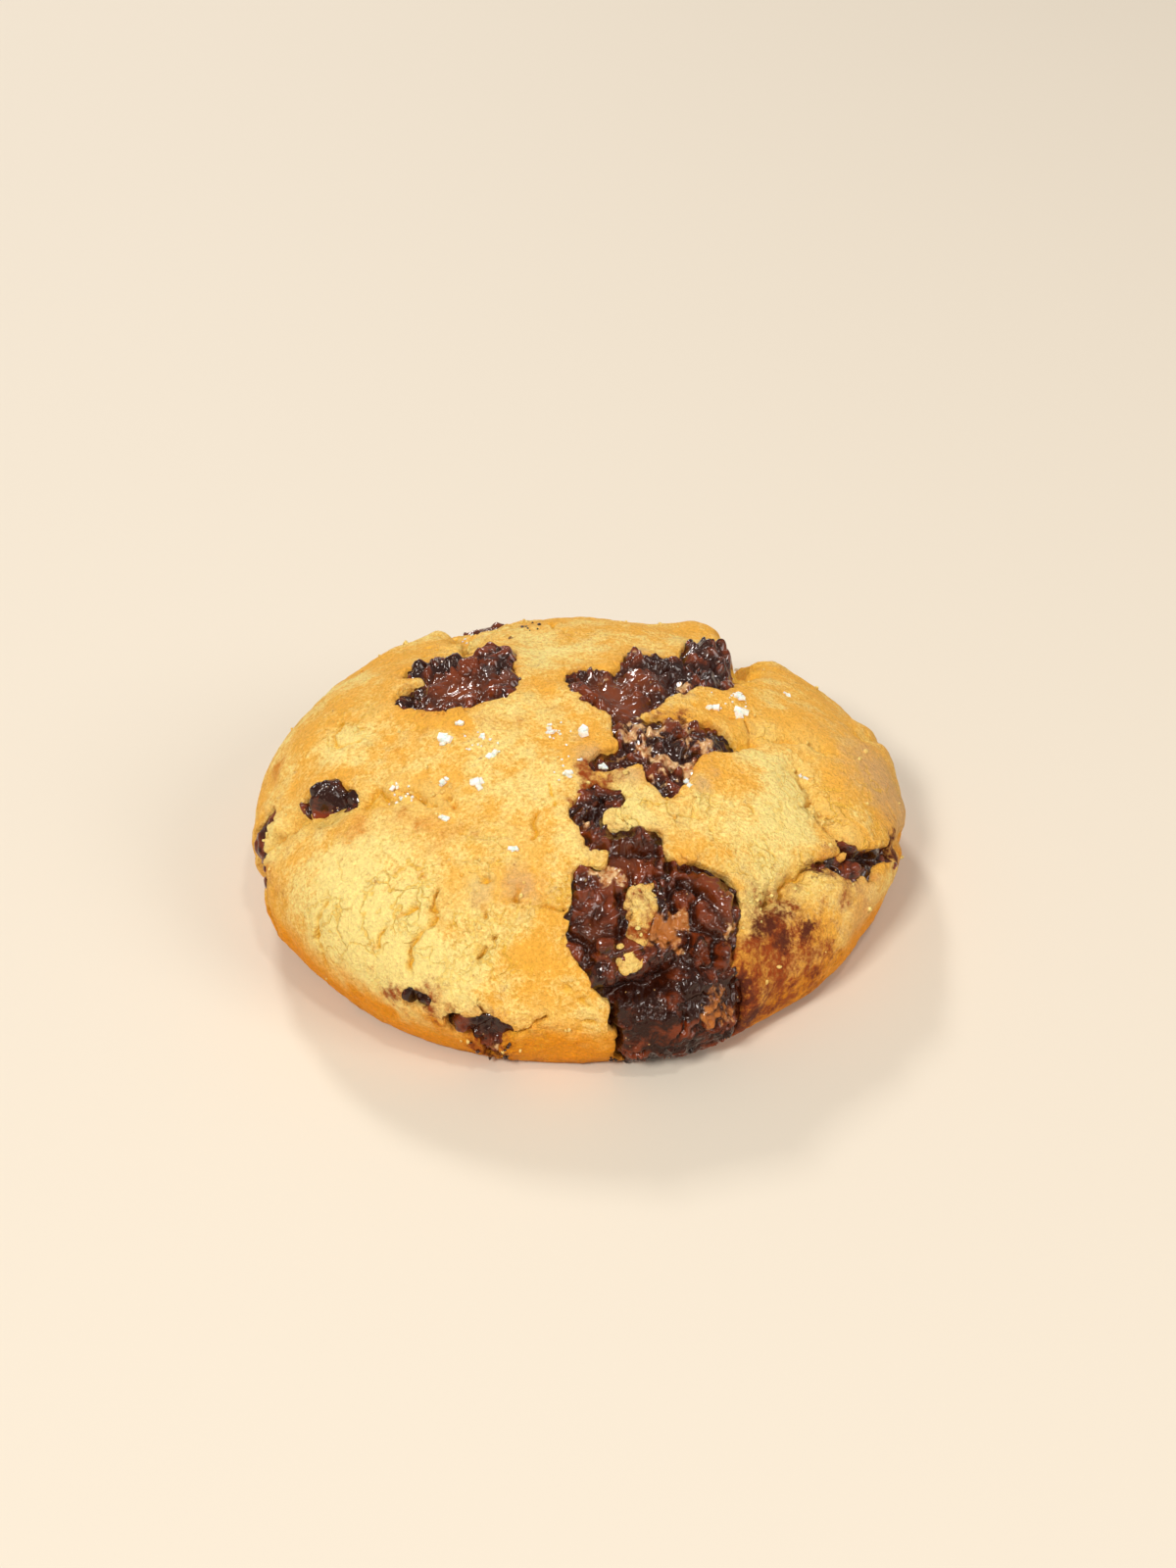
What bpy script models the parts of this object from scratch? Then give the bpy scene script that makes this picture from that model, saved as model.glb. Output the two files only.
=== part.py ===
"""A thick chocolate chunk cookie with flaky salt, as solids.

The cookie stands on its flat base at the origin, with +Z up and its front at -Y. The dough is one
domed pillow. Each pool of chocolate is a solid of its own, set in a pocket of the dough, and the salt
flakes are fused to the dough.

Places on the crust are given on a chart: the pair (u, v) lies hypot(u, v) along the crust from the
top's centre, towards the compass direction of (u, v). Lengths are in millimetres until MM is applied.
"""

import math

import bmesh
import bpy
import numpy as np
from mathutils import Vector

MM = 0.001

# The pillow: a superellipse turned round, with a slightly wavy and tilted form
RADIUS = 42.6
HEIGHT = 28.9
WAIST_HEIGHT = 9.0
TOP_ROUNDNESS = 1.93
BOTTOM_ROUNDNESS = 1.65
BASE_SHARE = 0.915
OUTLINE_WAVES = ((2, 0.46, 0.93), (3, 0.12, 0.40))
TILT_TO_LEFT = 0.063
TILT_TO_BACK = 0.011
CURVE_STEPS = 400
LOWEST_SLOPE = -0.15

# How finely the dough and the chocolate are faceted
DOUGH_CELLS = 48
POOL_CELL = 1.6
GAP = 0.35
POCKET_OPENING = 6.0
BLEND = 1.2
SNAP_STEPS = 4
PROBE = 0.05
TINY = 1e-9

# Uneven swelling of the dough
LUMP_CELLS = ((17.0, 0.75, 3), (7.5, 0.28, 8))
RIM_RISE = 0.55
RIM_WIDTH = 2.2

# Swellings of the crust: u, v, reach, height
SWELLINGS = (
    (-23.0, -33.0, 17.0, 0.9),
    (-16.0, -9.8, 6.0, 0.9),
    (-33.0, 4.0, 11.0, 0.5),
    (-1.0, 24.0, 9.0, 0.5),
    (29.0, 1.0, 9.0, 0.7),
    (37.0, -13.0, 5.0, 1.1),
    (38.0, -33.0, 11.0, 0.7),
    (13.0, -50.0, 9.0, 1.1),
    (-41.0, -24.0, 8.0, 0.7),
    (22.0, -16.0, 8.0, 0.6),
    (16.5, 31.0, 4.0, 1.5),
    (-15.2, 31.0, 5.5, -3.7),
    (-20.8, 28.8, 2.4, 1.6),
    (29.5, 25.0, 7.0, 0.6),
    (-27.0, 26.0, 5.0, 0.8),
    (42.5, 13.0, 4.0, 1.1),
)

# Folds of the crust: the chart points that each one runs through, with its depth and width there
FOLDS = (
    ((-52.0, -16.0, 1.7, 1.5), (-38.3, -15.4, 1.7, 1.5), (-33.0, -16.6, 1.7, 1.5), (-28.0, -16.9, 1.3, 1.4),
     (-23.5, -17.8, 0.9, 1.3), (-18.0, -19.6, 0.6, 1.3)),
    ((-20.5, 35.0, 1.2, 1.4), (-18.7, 29.6, 1.7, 1.2), (-17.0, 20.6, 1.8, 1.3), (-16.0, 13.5, 1.6, 1.4)),
    ((21.0, 9.5, 1.2, 1.5), (22.0, 15.0, 2.8, 1.6), (22.4, 22.0, 5.8, 1.8), (22.4, 29.0, 6.5, 1.7),
     (24.5, 40.0, 4.2, 2.0), (27.0, 49.0, 1.5, 2.0)),
    ((23.0, 16.0, 1.0, 2.4), (24.6, 28.4, 2.4, 2.6), (27.0, 42.0, 1.4, 2.6)),
    ((20.5, -6.5, 0.9, 1.3), (23.5, -3.4, 0.9, 1.3), (29.0, -2.0, 0.9, 1.3), (33.0, -2.2, 0.9, 1.3)),
    ((28.0, -7.4, 1.0, 1.3), (30.5, -12.6, 1.0, 1.3), (34.0, -18.0, 1.0, 1.3)),
    ((31.0, -24.0, 1.1, 1.4), (28.2, -27.6, 1.1, 1.4), (24.0, -31.9, 1.1, 1.4)),
    ((44.0, -13.0, 1.2, 1.5), (48.0, -8.0, 1.2, 1.5), (51.0, -2.0, 1.2, 1.5)),
    ((-36.0, 30.0, 1.0, 1.4), (-28.0, 38.0, 1.3, 1.5), (-22.0, 48.0, 1.0, 1.4)),
    ((-2.0, 42.0, 0.8, 1.4), (7.0, 44.5, 1.3, 1.5), (15.0, 43.0, 0.8, 1.4)),
    ((38.0, 8.0, 0.9, 1.4), (46.0, 15.0, 1.2, 1.4), (53.0, 20.0, 1.0, 1.4)),
)

# Each pool of chocolate: strokes of round lobes (u, v, radius), which run into each other, isles of
# dough left standing in it, its depth, how far its middle rises, and knobs (u, v, reach, height)
POOLS = {
    "chocolate_back_left": {
        "strokes": (
            ((-20.6, 0.6, 3.9), (-12.8, 0.8, 4.6)),
            ((-16.5, -0.8, 4.7), (-16.5, 4.2, 3.9)),
            ((-22.4, 7.4, 2.0), (-19.4, 8.6, 2.9)),
            ((-12.2, 5.0, 3.6), (-12.0, 9.8, 3.1)),
        ),
        "depth": 3.2,
        "rise": 0.3,
        "knobs": ((-12.0, 9.5, 3.0, 1.6), (-20.5, 7.5, 3.0, 0.8), (-9.8, 1.5, 2.0, 0.8)),
    },
    "chocolate_back_right": {
        "strokes": (
            ((0.2, 2.6, 3.0), (4.6, 0.2, 5.4), (9.6, 4.8, 5.0)),
            ((7.6, 9.0, 2.8), (12.8, 7.6, 4.2)),
            ((16.6, 8.4, 4.2), (16.8, 16.4, 3.4)),
        ),
        "depth": 3.2,
        "rise": 0.2,
        "knobs": ((16.5, 15.5, 3.6, 2.4), (8.5, 9.5, 2.6, 1.0), (14.5, 5.6, 2.4, 0.6)),
    },
    "chocolate_middle": {
        "strokes": (
            ((5.6, -8.6, 1.9), (11.5, -8.4, 3.8), (16.6, -7.2, 3.1)),
            ((16.6, -7.2, 3.1), (19.4, -7.6, 1.3)),
            ((11.4, -11.0, 4.0), (10.9, -15.4, 2.9), (10.8, -18.3, 1.5)),
            ((7.0, -12.2, 1.8), (2.6, -14.4, 1.9)),
        ),
        "depth": 2.8,
        "rise": 0.2,
        "knobs": ((15.8, -8.0, 2.0, 0.7), (11.0, -9.0, 2.2, 0.6)),
    },
    "chocolate_centre": {
        "strokes": (
            ((-0.3, -23.2, 1.7), (2.0, -20.6, 2.1), (4.0, -20.9, 1.7)),
            ((1.0, -23.6, 1.8), (1.6, -26.6, 1.4)),
            ((2.4, -26.9, 1.4), (5.0, -26.9, 1.9), (8.9, -25.9, 1.8)),
        ),
        "depth": 2.6,
        "rise": 0.2,
        "knobs": ((6.5, -26.2, 2.6, 0.7), (1.6, -21.0, 1.6, 0.5)),
    },
    "chocolate_front": {
        "strokes": (
            ((15.6, -32.8, 4.7), (16.2, -38.0, 4.6)),
            ((1.2, -33.6, 3.0), (1.9, -38.6, 3.5), (4.2, -44.0, 3.2)),
            ((4.4, -31.0, 1.5), (9.0, -31.2, 1.8), (13.0, -32.0, 2.4)),
            ((13.0, -38.4, 4.2), (12.5, -44.0, 4.4)),
            ((8.6, -48.8, 4.4), (18.6, -47.0, 4.8)),
            ((9.8, -54.0, 4.2), (19.0, -51.4, 4.3)),
        ),
        "isles": (
            ((8.2, -34.0, 1.3), (7.0, -37.4, 1.0), (7.2, -41.8, 1.7)),
            ((8.0, -39.6, 1.4), (11.0, -39.2, 1.1)),
        ),
        "depth": 3.4,
        "rise": 0.2,
        "knobs": ((12.0, -50.5, 5.0, 1.3), (19.0, -50.0, 5.0, 1.2), (16.5, -33.5, 3.4, 0.8),
                  (10.0, -45.0, 2.0, -1.0)),
    },
    "chocolate_left": {
        "strokes": (((-35.0, -13.6, 1.8), (-32.6, -13.5, 1.8), (-29.8, -15.2, 1.5)),),
        "depth": 2.4,
        "rise": 0.3,
        "knobs": ((-33.6, -12.4, 1.8, 0.5),),
    },
    "chocolate_left_edge": {
        "strokes": (
            ((-42.6, -11.2, 1.5), (-46.6, -11.8, 1.7), (-46.8, -14.6, 1.3)),
            ((-46.8, -14.6, 1.3), (-46.0, -19.0, 1.6), (-48.0, -23.6, 1.3)),
        ),
        "depth": 2.4,
        "rise": 0.2,
        "knobs": ((-45.5, -11.5, 1.8, 0.5),),
    },
    "chocolate_right": {
        "strokes": (
            ((35.2, -19.0, 1.4), (39.6, -18.0, 2.0), (44.6, -13.2, 1.8)),
            ((32.4, -23.2, 1.2), (36.8, -21.6, 1.6), (40.6, -20.0, 1.3)),
        ),
        "depth": 2.6,
        "rise": -0.2,
        "knobs": ((43.0, -14.4, 1.8, 0.4),),
    },
    "chocolate_front_low": {
        "strokes": (
            ((-17.6, -48.6, 1.4), (-14.2, -49.2, 2.1), (-11.2, -50.0, 1.4)),
            ((-14.2, -50.0, 2.0), (-13.8, -54.0, 1.5)),
        ),
        "depth": 2.2,
        "rise": 0.2,
        "knobs": (),
    },
    "chocolate_speck": {
        "strokes": (((-22.8, -44.2, 1.3), (-22.0, -44.6, 1.2)),),
        "depth": 1.6,
        "rise": 0.2,
        "knobs": (),
    },
    "chocolate_rear_left": {
        "strokes": (
            ((-10.0, 41.5, 2.8), (-16.5, 40.0, 3.2)),
            ((-13.0, 43.0, 2.4), (-11.0, 47.5, 1.9)),
        ),
        "depth": 3.0,
        "rise": 0.3,
        "knobs": ((-15.0, 40.5, 3.0, 0.9),),
    },
    "chocolate_rear_right": {
        "strokes": (
            ((33.5, 38.0, 2.4), (37.5, 31.5, 2.9), (41.0, 28.0, 2.0)),
            ((36.0, 36.0, 2.2), (38.5, 39.5, 1.8)),
        ),
        "depth": 2.8,
        "rise": 0.3,
        "knobs": ((36.5, 33.5, 2.8, 0.8),),
    },
    "chocolate_rear_low": {
        "strokes": (((2.0, 51.0, 1.8), (6.0, 50.0, 2.3), (9.5, 51.5, 1.5)),),
        "depth": 2.2,
        "rise": 0.2,
        "knobs": (),
    },
}
POOL_LUMPS = ((4.2, 0.45, 21), (2.2, 0.18, 22))

# Flakes of salt that show from the front: u, v, length
FLAKES = (
    (-16.7, -10.3, 2.8), (-15.2, -7.6, 1.6), (-12.3, -10.0, 1.8), (-11.0, -13.0, 1.6),
    (-12.9, -17.6, 2.9), (-3.9, -8.6, 1.6), (0.2, -8.8, 2.6), (-1.9, -17.0, 1.9),
    (-16.9, -22.6, 1.7), (-17.4, -16.6, 1.9), (-23.5, -16.0, 1.6), (16.8, 0.2, 1.9),
    (20.4, 3.6, 2.1), (20.4, 0.2, 2.9), (27.6, 9.8, 1.5), (29.6, -8.2, 1.5),
    (13.6, -17.2, 1.8), (-8.0, -28.0, 1.8),
)
REAR_FLAKES = 9
FLAKE_REACH = 50.0
FLAKE_START = 32.0
FLAKE_CLEARANCE = 2.0
FLAKE_POINTS = 16
FLAKE_THICKNESS = 0.42
FLAKE_SINK = 0.12
FLAKE_SEED = 11

# Colour, roughness
DOUGH_LOOK = ((0.80, 0.55, 0.24, 1.0), 0.8)
CHOCOLATE_LOOK = ((0.075, 0.024, 0.014, 1.0), 0.35)


def clear_scene():
    for item in list(bpy.data.objects):
        bpy.data.objects.remove(item, do_unlink=True)


def make_material(name, look):
    material = bpy.data.materials.new(name)
    material.use_nodes = True
    shader = material.node_tree.nodes["Principled BSDF"]
    shader.inputs["Base Color"].default_value = look[0]
    shader.inputs["Roughness"].default_value = look[1]
    shader.inputs["Metallic"].default_value = 0.0
    return material


def side_curve():
    """The side view's curve: distance along it from the top, radius and height."""
    rising = np.linspace(0.0, math.pi / 2, CURVE_STEPS)
    top_r = RADIUS * np.sin(rising) ** (2 / TOP_ROUNDNESS)
    top_z = WAIST_HEIGHT + (HEIGHT - WAIST_HEIGHT) * np.cos(rising) ** (2 / TOP_ROUNDNESS)
    under_r = RADIUS * (BASE_SHARE + (1 - BASE_SHARE) * np.cos(rising[1:]) ** (2 / BOTTOM_ROUNDNESS))
    under_z = WAIST_HEIGHT * (1 - np.sin(rising[1:]) ** (2 / BOTTOM_ROUNDNESS))
    radius = np.concatenate([top_r, under_r])
    height = np.concatenate([top_z, under_z])
    steps = np.hypot(np.diff(radius), np.diff(height))
    return np.concatenate([[0.0], np.cumsum(steps)]), radius, height


CURVE_S, CURVE_R, CURVE_Z = side_curve()
CURVE_DR = np.gradient(CURVE_R, CURVE_S)
CURVE_DZ = np.gradient(CURVE_Z, CURVE_S)
CRUST_REACH = CURVE_S[-1]


def form(chart):
    """The smooth pillow's points and outward directions for chart places."""
    s = np.hypot(chart[:, 0], chart[:, 1])
    turn = np.arctan2(chart[:, 1], chart[:, 0])
    r = np.interp(s, CURVE_S, CURVE_R)
    z = np.interp(s, CURVE_S, CURVE_Z)
    out = -np.interp(s, CURVE_S, CURVE_DZ)
    up = np.maximum(np.interp(s, CURVE_S, CURVE_DR), LOWEST_SLOPE * out)
    length = np.hypot(out, up) + TINY
    wave = sum(a * np.cos(k * turn) + b * np.sin(k * turn) for k, a, b in OUTLINE_WAVES)
    r = r + wave * np.clip(r / RADIUS, 0.0, 1.0) ** 2
    x = r * np.cos(turn)
    y = r * np.sin(turn)
    z = z * (1 + (TILT_TO_BACK * y - TILT_TO_LEFT * x) / HEIGHT)
    points = np.stack([x, y, z], axis=1)
    normals = np.stack([out * np.cos(turn), out * np.sin(turn), up], axis=1) / length[:, None]
    return points, normals


def lattice_value(cells, seed):
    """A repeatable number from -1 to 1 for each lattice cell."""
    mixed = cells[:, 0] * 374761393 + cells[:, 1] * 668265263 + cells[:, 2] * 1442695041 + seed * 97
    mixed = mixed & 0xFFFFFFFF
    mixed = ((mixed ^ (mixed >> 13)) * 1274126177) & 0xFFFFFFFF
    mixed = ((mixed ^ (mixed >> 15)) * 2246822519) & 0xFFFFFFFF
    return (mixed ^ (mixed >> 16)) / 2147483647.5 - 1.0


def smooth_noise(points, cell, seed):
    """Smooth unevenness from about -1 to 1, with swells about one cell wide."""
    scaled = points / cell
    corner = np.floor(scaled).astype(np.int64)
    part = scaled - corner
    ease = part * part * (3 - 2 * part)
    total = np.zeros(len(points))
    for step in np.ndindex(2, 2, 2):
        step = np.array(step)
        weight = np.prod(np.where(step == 1, ease, 1 - ease), axis=1)
        total += weight * lattice_value(corner + step, seed)
    return total


def layers(points, table):
    return sum(height * smooth_noise(points, cell, seed) for cell, height, seed in table)


def capsule(points, start, end, start_radius, end_radius):
    """Distance to a rounded stroke whose radius changes along it."""
    axis = end - start
    share = np.clip((points - start) @ axis / (axis @ axis + TINY), 0.0, 1.0)
    nearest = start + share[:, None] * axis
    radius = start_radius + share * (end_radius - start_radius)
    return np.linalg.norm(points - nearest, axis=1) - radius


def soft_min(a, b):
    share = np.clip(0.5 + 0.5 * (b - a) / BLEND, 0.0, 1.0)
    return b + share * (a - b) - BLEND * share * (1 - share)


def strokes_field(points, strokes):
    """Distance to the strokes' joined outline, negative inside it."""
    field = None
    for stroke in strokes:
        centres = form(np.array([lobe[:2] for lobe in stroke]))[0]
        for i in range(len(stroke) - 1):
            part = capsule(points, centres[i], centres[i + 1], stroke[i][2], stroke[i + 1][2])
            field = part if field is None else soft_min(field, part)
    return field


def pool_field(points, pool):
    """Distance to a pool's edge, negative in the chocolate."""
    field = strokes_field(points, pool["strokes"])
    if "isles" in pool:
        field = np.maximum(field, -strokes_field(points, pool["isles"]))
    return field


def nearest_pool(points):
    return np.min([pool_field(points, pool) for pool in POOLS.values()], axis=0)


def bumps(points, table):
    """Round swellings: u, v, reach, height."""
    total = np.zeros(len(points))
    for u, v, reach, height in table:
        centre = form(np.array([[u, v]]))[0][0]
        away = np.linalg.norm(points - centre, axis=1)
        total += height * np.exp(-((away / reach) ** 2))
    return total


def along(points, start, end):
    """Share of the way along a line, from 0 to 1, and distance from it."""
    axis = end - start
    share = np.clip((points - start) @ axis / (axis @ axis + TINY), 0.0, 1.0)
    return share, np.linalg.norm(points - (start + share[:, None] * axis), axis=1)


def folds(points):
    """Depths of the folds, added where two of them meet."""
    total = np.zeros(len(points))
    for fold in FOLDS:
        centres = form(np.array([place[:2] for place in fold]))[0]
        deepest = np.zeros(len(points))
        for i in range(len(fold) - 1):
            share, away = along(points, centres[i], centres[i + 1])
            depth = fold[i][2] + share * (fold[i + 1][2] - fold[i][2])
            width = fold[i][3] + share * (fold[i + 1][3] - fold[i][3])
            deepest = np.maximum(deepest, depth * np.exp(-((away / width) ** 2)))
        total += deepest
    return total


def crust_relief(points):
    """How far the dough stands out from the smooth pillow."""
    rim = RIM_RISE * np.exp(-((nearest_pool(points) / RIM_WIDTH) ** 2))
    uneven = bumps(points, SWELLINGS) - folds(points) + rim + layers(points, LUMP_CELLS)
    near_base = np.clip(points[:, 2] / 3.0, 0.0, 1.0)
    return uneven * near_base


def pool_relief(points, pool):
    """How far the chocolate's top stands out from the smooth pillow."""
    inside = np.clip(-pool_field(points, pool) / 2.5, 0.0, 1.0)
    lumps = bumps(points, pool["knobs"]) + layers(points, POOL_LUMPS)
    return pool["rise"] * inside + lumps * (0.35 + 0.65 * inside)


def add_object(name, bm, material):
    bmesh.ops.triangulate(bm, faces=bm.faces[:])
    bmesh.ops.recalc_face_normals(bm, faces=bm.faces[:])
    mesh = bpy.data.meshes.new(name)
    bm.to_mesh(mesh)
    bm.free()
    mesh.materials.append(material)
    mesh.shade_smooth()
    mesh.set_sharp_from_angle(angle=math.radians(40))
    item = bpy.data.objects.new(name, mesh)
    bpy.context.scene.collection.objects.link(item)
    return item


def chart_array(verts):
    return np.array([vert.co[:2] for vert in verts])


def square_to_disc(verts):
    """Turns a square grid from -1 to 1 into a disc that reaches the base's edge."""
    for vert in verts:
        a, b = vert.co[:2]
        ring = max(abs(a), abs(b))
        if ring == 0.0:
            continue
        if abs(a) >= abs(b):
            turn = (math.pi / 4) * (b / a) + (math.pi if a < 0 else 0.0)
        else:
            turn = math.pi / 2 - (math.pi / 4) * (a / b) + (math.pi if b < 0 else 0.0)
        reach = ring * CRUST_REACH
        vert.co = Vector((reach * math.cos(turn), reach * math.sin(turn), 0.0))


def dough_pillow(material):
    """The whole dough without pockets: a grid bent over the pillow, closed by its flat base."""
    bm = bmesh.new()
    bmesh.ops.create_grid(bm, x_segments=DOUGH_CELLS, y_segments=DOUGH_CELLS, size=1.0)
    square_to_disc(bm.verts)
    points, normals = form(chart_array(bm.verts))
    placed = points + normals * crust_relief(points)[:, None]
    for vert, place in zip(bm.verts, placed):
        vert.co = Vector(place * MM)
    edge = [e for e in bm.edges if e.is_boundary]
    for vert in {vert for e in edge for vert in e.verts}:
        vert.co.z = 0.0
    bmesh.ops.edgeloop_fill(bm, edges=edge)
    return add_object("cookie_dough", bm, material)


def drop_pinched_corners(bm):
    """Removes cells until no two of them meet at a corner alone."""
    while True:
        pinched = [v for v in bm.verts if sum(e.is_boundary for e in v.link_edges) > 2]
        if not pinched:
            return
        faces = {face for vert in pinched for face in vert.link_faces}
        bmesh.ops.delete(bm, geom=list(faces), context="FACES")


def snap_to_edge(verts, pool, edge):
    """Moves chart places along the field's slope until they lie on the wanted outline."""
    chart = chart_array(verts)
    for _ in range(SNAP_STEPS):
        here = pool_field(form(chart)[0], pool) - edge
        ahead_u = pool_field(form(chart + [PROBE, 0.0])[0], pool) - edge
        ahead_v = pool_field(form(chart + [0.0, PROBE])[0], pool) - edge
        slope = np.stack([ahead_u - here, ahead_v - here], axis=1) / PROBE
        steepness = np.sum(slope * slope, axis=1) + TINY
        chart = chart - slope * (here / steepness)[:, None]
    for vert, place in zip(verts, chart):
        vert.co = Vector((place[0], place[1], 0.0))


def pool_sheet(pool, edge):
    """A flat grid on the chart that covers a pool out to the wanted outline."""
    lobes = np.array([lobe for stroke in pool["strokes"] for lobe in stroke])
    low = (lobes[:, :2] - lobes[:, 2:] * 1.6).min(axis=0)
    high = (lobes[:, :2] + lobes[:, 2:] * 1.6).max(axis=0)
    across = np.ceil((high - low) / POOL_CELL).astype(int)
    bm = bmesh.new()
    bmesh.ops.create_grid(bm, x_segments=int(across[0]), y_segments=int(across[1]), size=0.5)
    for vert in bm.verts:
        share = np.array(vert.co[:2]) + 0.5
        place = low + share * across * POOL_CELL
        vert.co = Vector((place[0], place[1], 0.0))
    centres = np.array([face.calc_center_median()[:2] for face in bm.faces])
    outside = pool_field(form(centres)[0], pool) > -GAP / 2
    dropped = [face for face, out in zip(bm.faces[:], outside) if out]
    bmesh.ops.delete(bm, geom=dropped, context="FACES")
    drop_pinched_corners(bm)
    border = [v for v in bm.verts if any(e.is_boundary for e in v.link_edges)]
    inner = [v for v in bm.verts if not any(e.is_boundary for e in v.link_edges)]
    snap_to_edge(border, pool, edge)
    for _ in range(3):
        bmesh.ops.smooth_vert(bm, verts=inner, factor=0.5, use_axis_x=True, use_axis_y=True)
    return bm


def thicken_sheet(bm, top_of, bottom):
    """Turns a chart sheet into a closed solid between two distances from the smooth pillow."""
    lower = bm.verts[:]
    lifted = bmesh.ops.extrude_face_region(bm, geom=bm.faces[:], use_keep_orig=True)
    upper = [item for item in lifted["geom"] if isinstance(item, bmesh.types.BMVert)]
    for verts, height_of in ((lower, lambda points: np.full(len(points), bottom)), (upper, top_of)):
        points, normals = form(chart_array(verts))
        placed = points + normals * height_of(points)[:, None]
        for vert, place in zip(verts, placed):
            vert.co = Vector(place * MM)


def add_chocolate(name, pool, material):
    bm = pool_sheet(pool, -GAP)
    thicken_sheet(bm, lambda points: pool_relief(points, pool), -pool["depth"])
    return add_object(name, bm, material)


def add_pocket(name, pool, material):
    bm = pool_sheet(pool, 0.0)
    thicken_sheet(bm, lambda points: np.full(len(points), POCKET_OPENING), -pool["depth"] - GAP)
    return add_object("pocket_" + name, bm, material)


def flake_places():
    """Chart places and lengths of the salt, listed in front and drawn by chance at the back."""
    draw = np.random.default_rng(FLAKE_SEED)
    places = list(FLAKES)
    while len(places) < len(FLAKES) + REAR_FLAKES:
        turn = draw.uniform(0.5, math.pi - 0.5)
        reach = FLAKE_REACH * math.sqrt(draw.uniform(0.4, 1.0))
        place = (reach * math.cos(turn), reach * math.sin(turn))
        point = form(np.array([place]))[0]
        if place[1] > FLAKE_START and nearest_pool(point)[0] > FLAKE_CLEARANCE:
            places.append((place[0], place[1], draw.uniform(1.5, 2.7)))
    return places


def add_flake(number, place, draw, material):
    """A thin chipped crystal: the hull of points drawn in a squashed box, lying on the crust."""
    u, v, length = place
    points, normals = form(np.array([[u, v]]))
    seat = points[0] + normals[0] * crust_relief(points)[0]
    lean = Vector(normals[0] + draw.uniform(-0.25, 0.25, 3)).normalized()
    turn = lean.to_track_quat("Z", "Y").to_matrix()
    half = np.array([0.5, draw.uniform(0.32, 0.46), 0.5 * FLAKE_THICKNESS]) * length
    bm = bmesh.new()
    for corner in np.ndindex(2, 2, 2):
        inset = draw.uniform(0.0, 0.3, 3)
        spot = (np.array(corner) * 2 - 1) * half * (1 - inset)
        bm.verts.new(spot)
    for _ in range(FLAKE_POINTS - 8):
        bm.verts.new(draw.uniform(-0.8, 0.8, 3) * half)
    hull = bmesh.ops.convex_hull(bm, input=bm.verts[:], use_existing_faces=False)
    spare = hull["geom_interior"] + hull["geom_unused"]
    bmesh.ops.delete(bm, geom=list(set(spare)), context="VERTS")
    spin = draw.uniform(0.0, math.pi)
    centre = Vector(seat) + Vector(normals[0]) * (half[2] - FLAKE_SINK * length)
    for vert in bm.verts:
        x, y, z = vert.co
        turned = Vector((x * math.cos(spin) - y * math.sin(spin), x * math.sin(spin) + y * math.cos(spin), z))
        vert.co = (centre + turn @ turned) * MM
    return add_object("flake_" + str(number), bm, material)


def combine(target, parts, operation, solver):
    """Applies one Boolean with all the parts, then removes them."""
    group = bpy.data.collections.new(operation.lower() + "_parts")
    bpy.context.scene.collection.children.link(group)
    for part in parts:
        bpy.context.scene.collection.objects.unlink(part)
        group.objects.link(part)
    modifier = target.modifiers.new(operation, "BOOLEAN")
    modifier.operation = operation
    modifier.operand_type = "COLLECTION"
    modifier.collection = group
    modifier.solver = solver
    bpy.context.view_layer.update()
    graph = bpy.context.evaluated_depsgraph_get()
    finished = bpy.data.meshes.new_from_object(target.evaluated_get(graph))
    target.modifiers.remove(modifier)
    target.data = finished
    for part in parts:
        bpy.data.objects.remove(part, do_unlink=True)
    bpy.data.collections.remove(group)


def main():
    clear_scene()
    dough_material = make_material("baked_dough", DOUGH_LOOK)
    chocolate_material = make_material("melted_chocolate", CHOCOLATE_LOOK)
    dough = dough_pillow(dough_material)
    pockets = [add_pocket(name, pool, dough_material) for name, pool in POOLS.items()]
    combine(dough, pockets, "DIFFERENCE", "EXACT")
    draw = np.random.default_rng(FLAKE_SEED)
    flakes = [add_flake(i, place, draw, dough_material) for i, place in enumerate(flake_places())]
    combine(dough, flakes, "UNION", "MANIFOLD")
    for name, pool in POOLS.items():
        add_chocolate(name, pool, chocolate_material)


main()
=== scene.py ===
"""The looks of a thick chocolate chunk cookie with flaky salt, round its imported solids.

Places on the crust are given on a chart: the pair (u, v) lies hypot(u, v) along the crust from the
top's centre, towards the compass direction of (u, v). Lengths are in millimetres until MM is applied.
"""

import math

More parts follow.
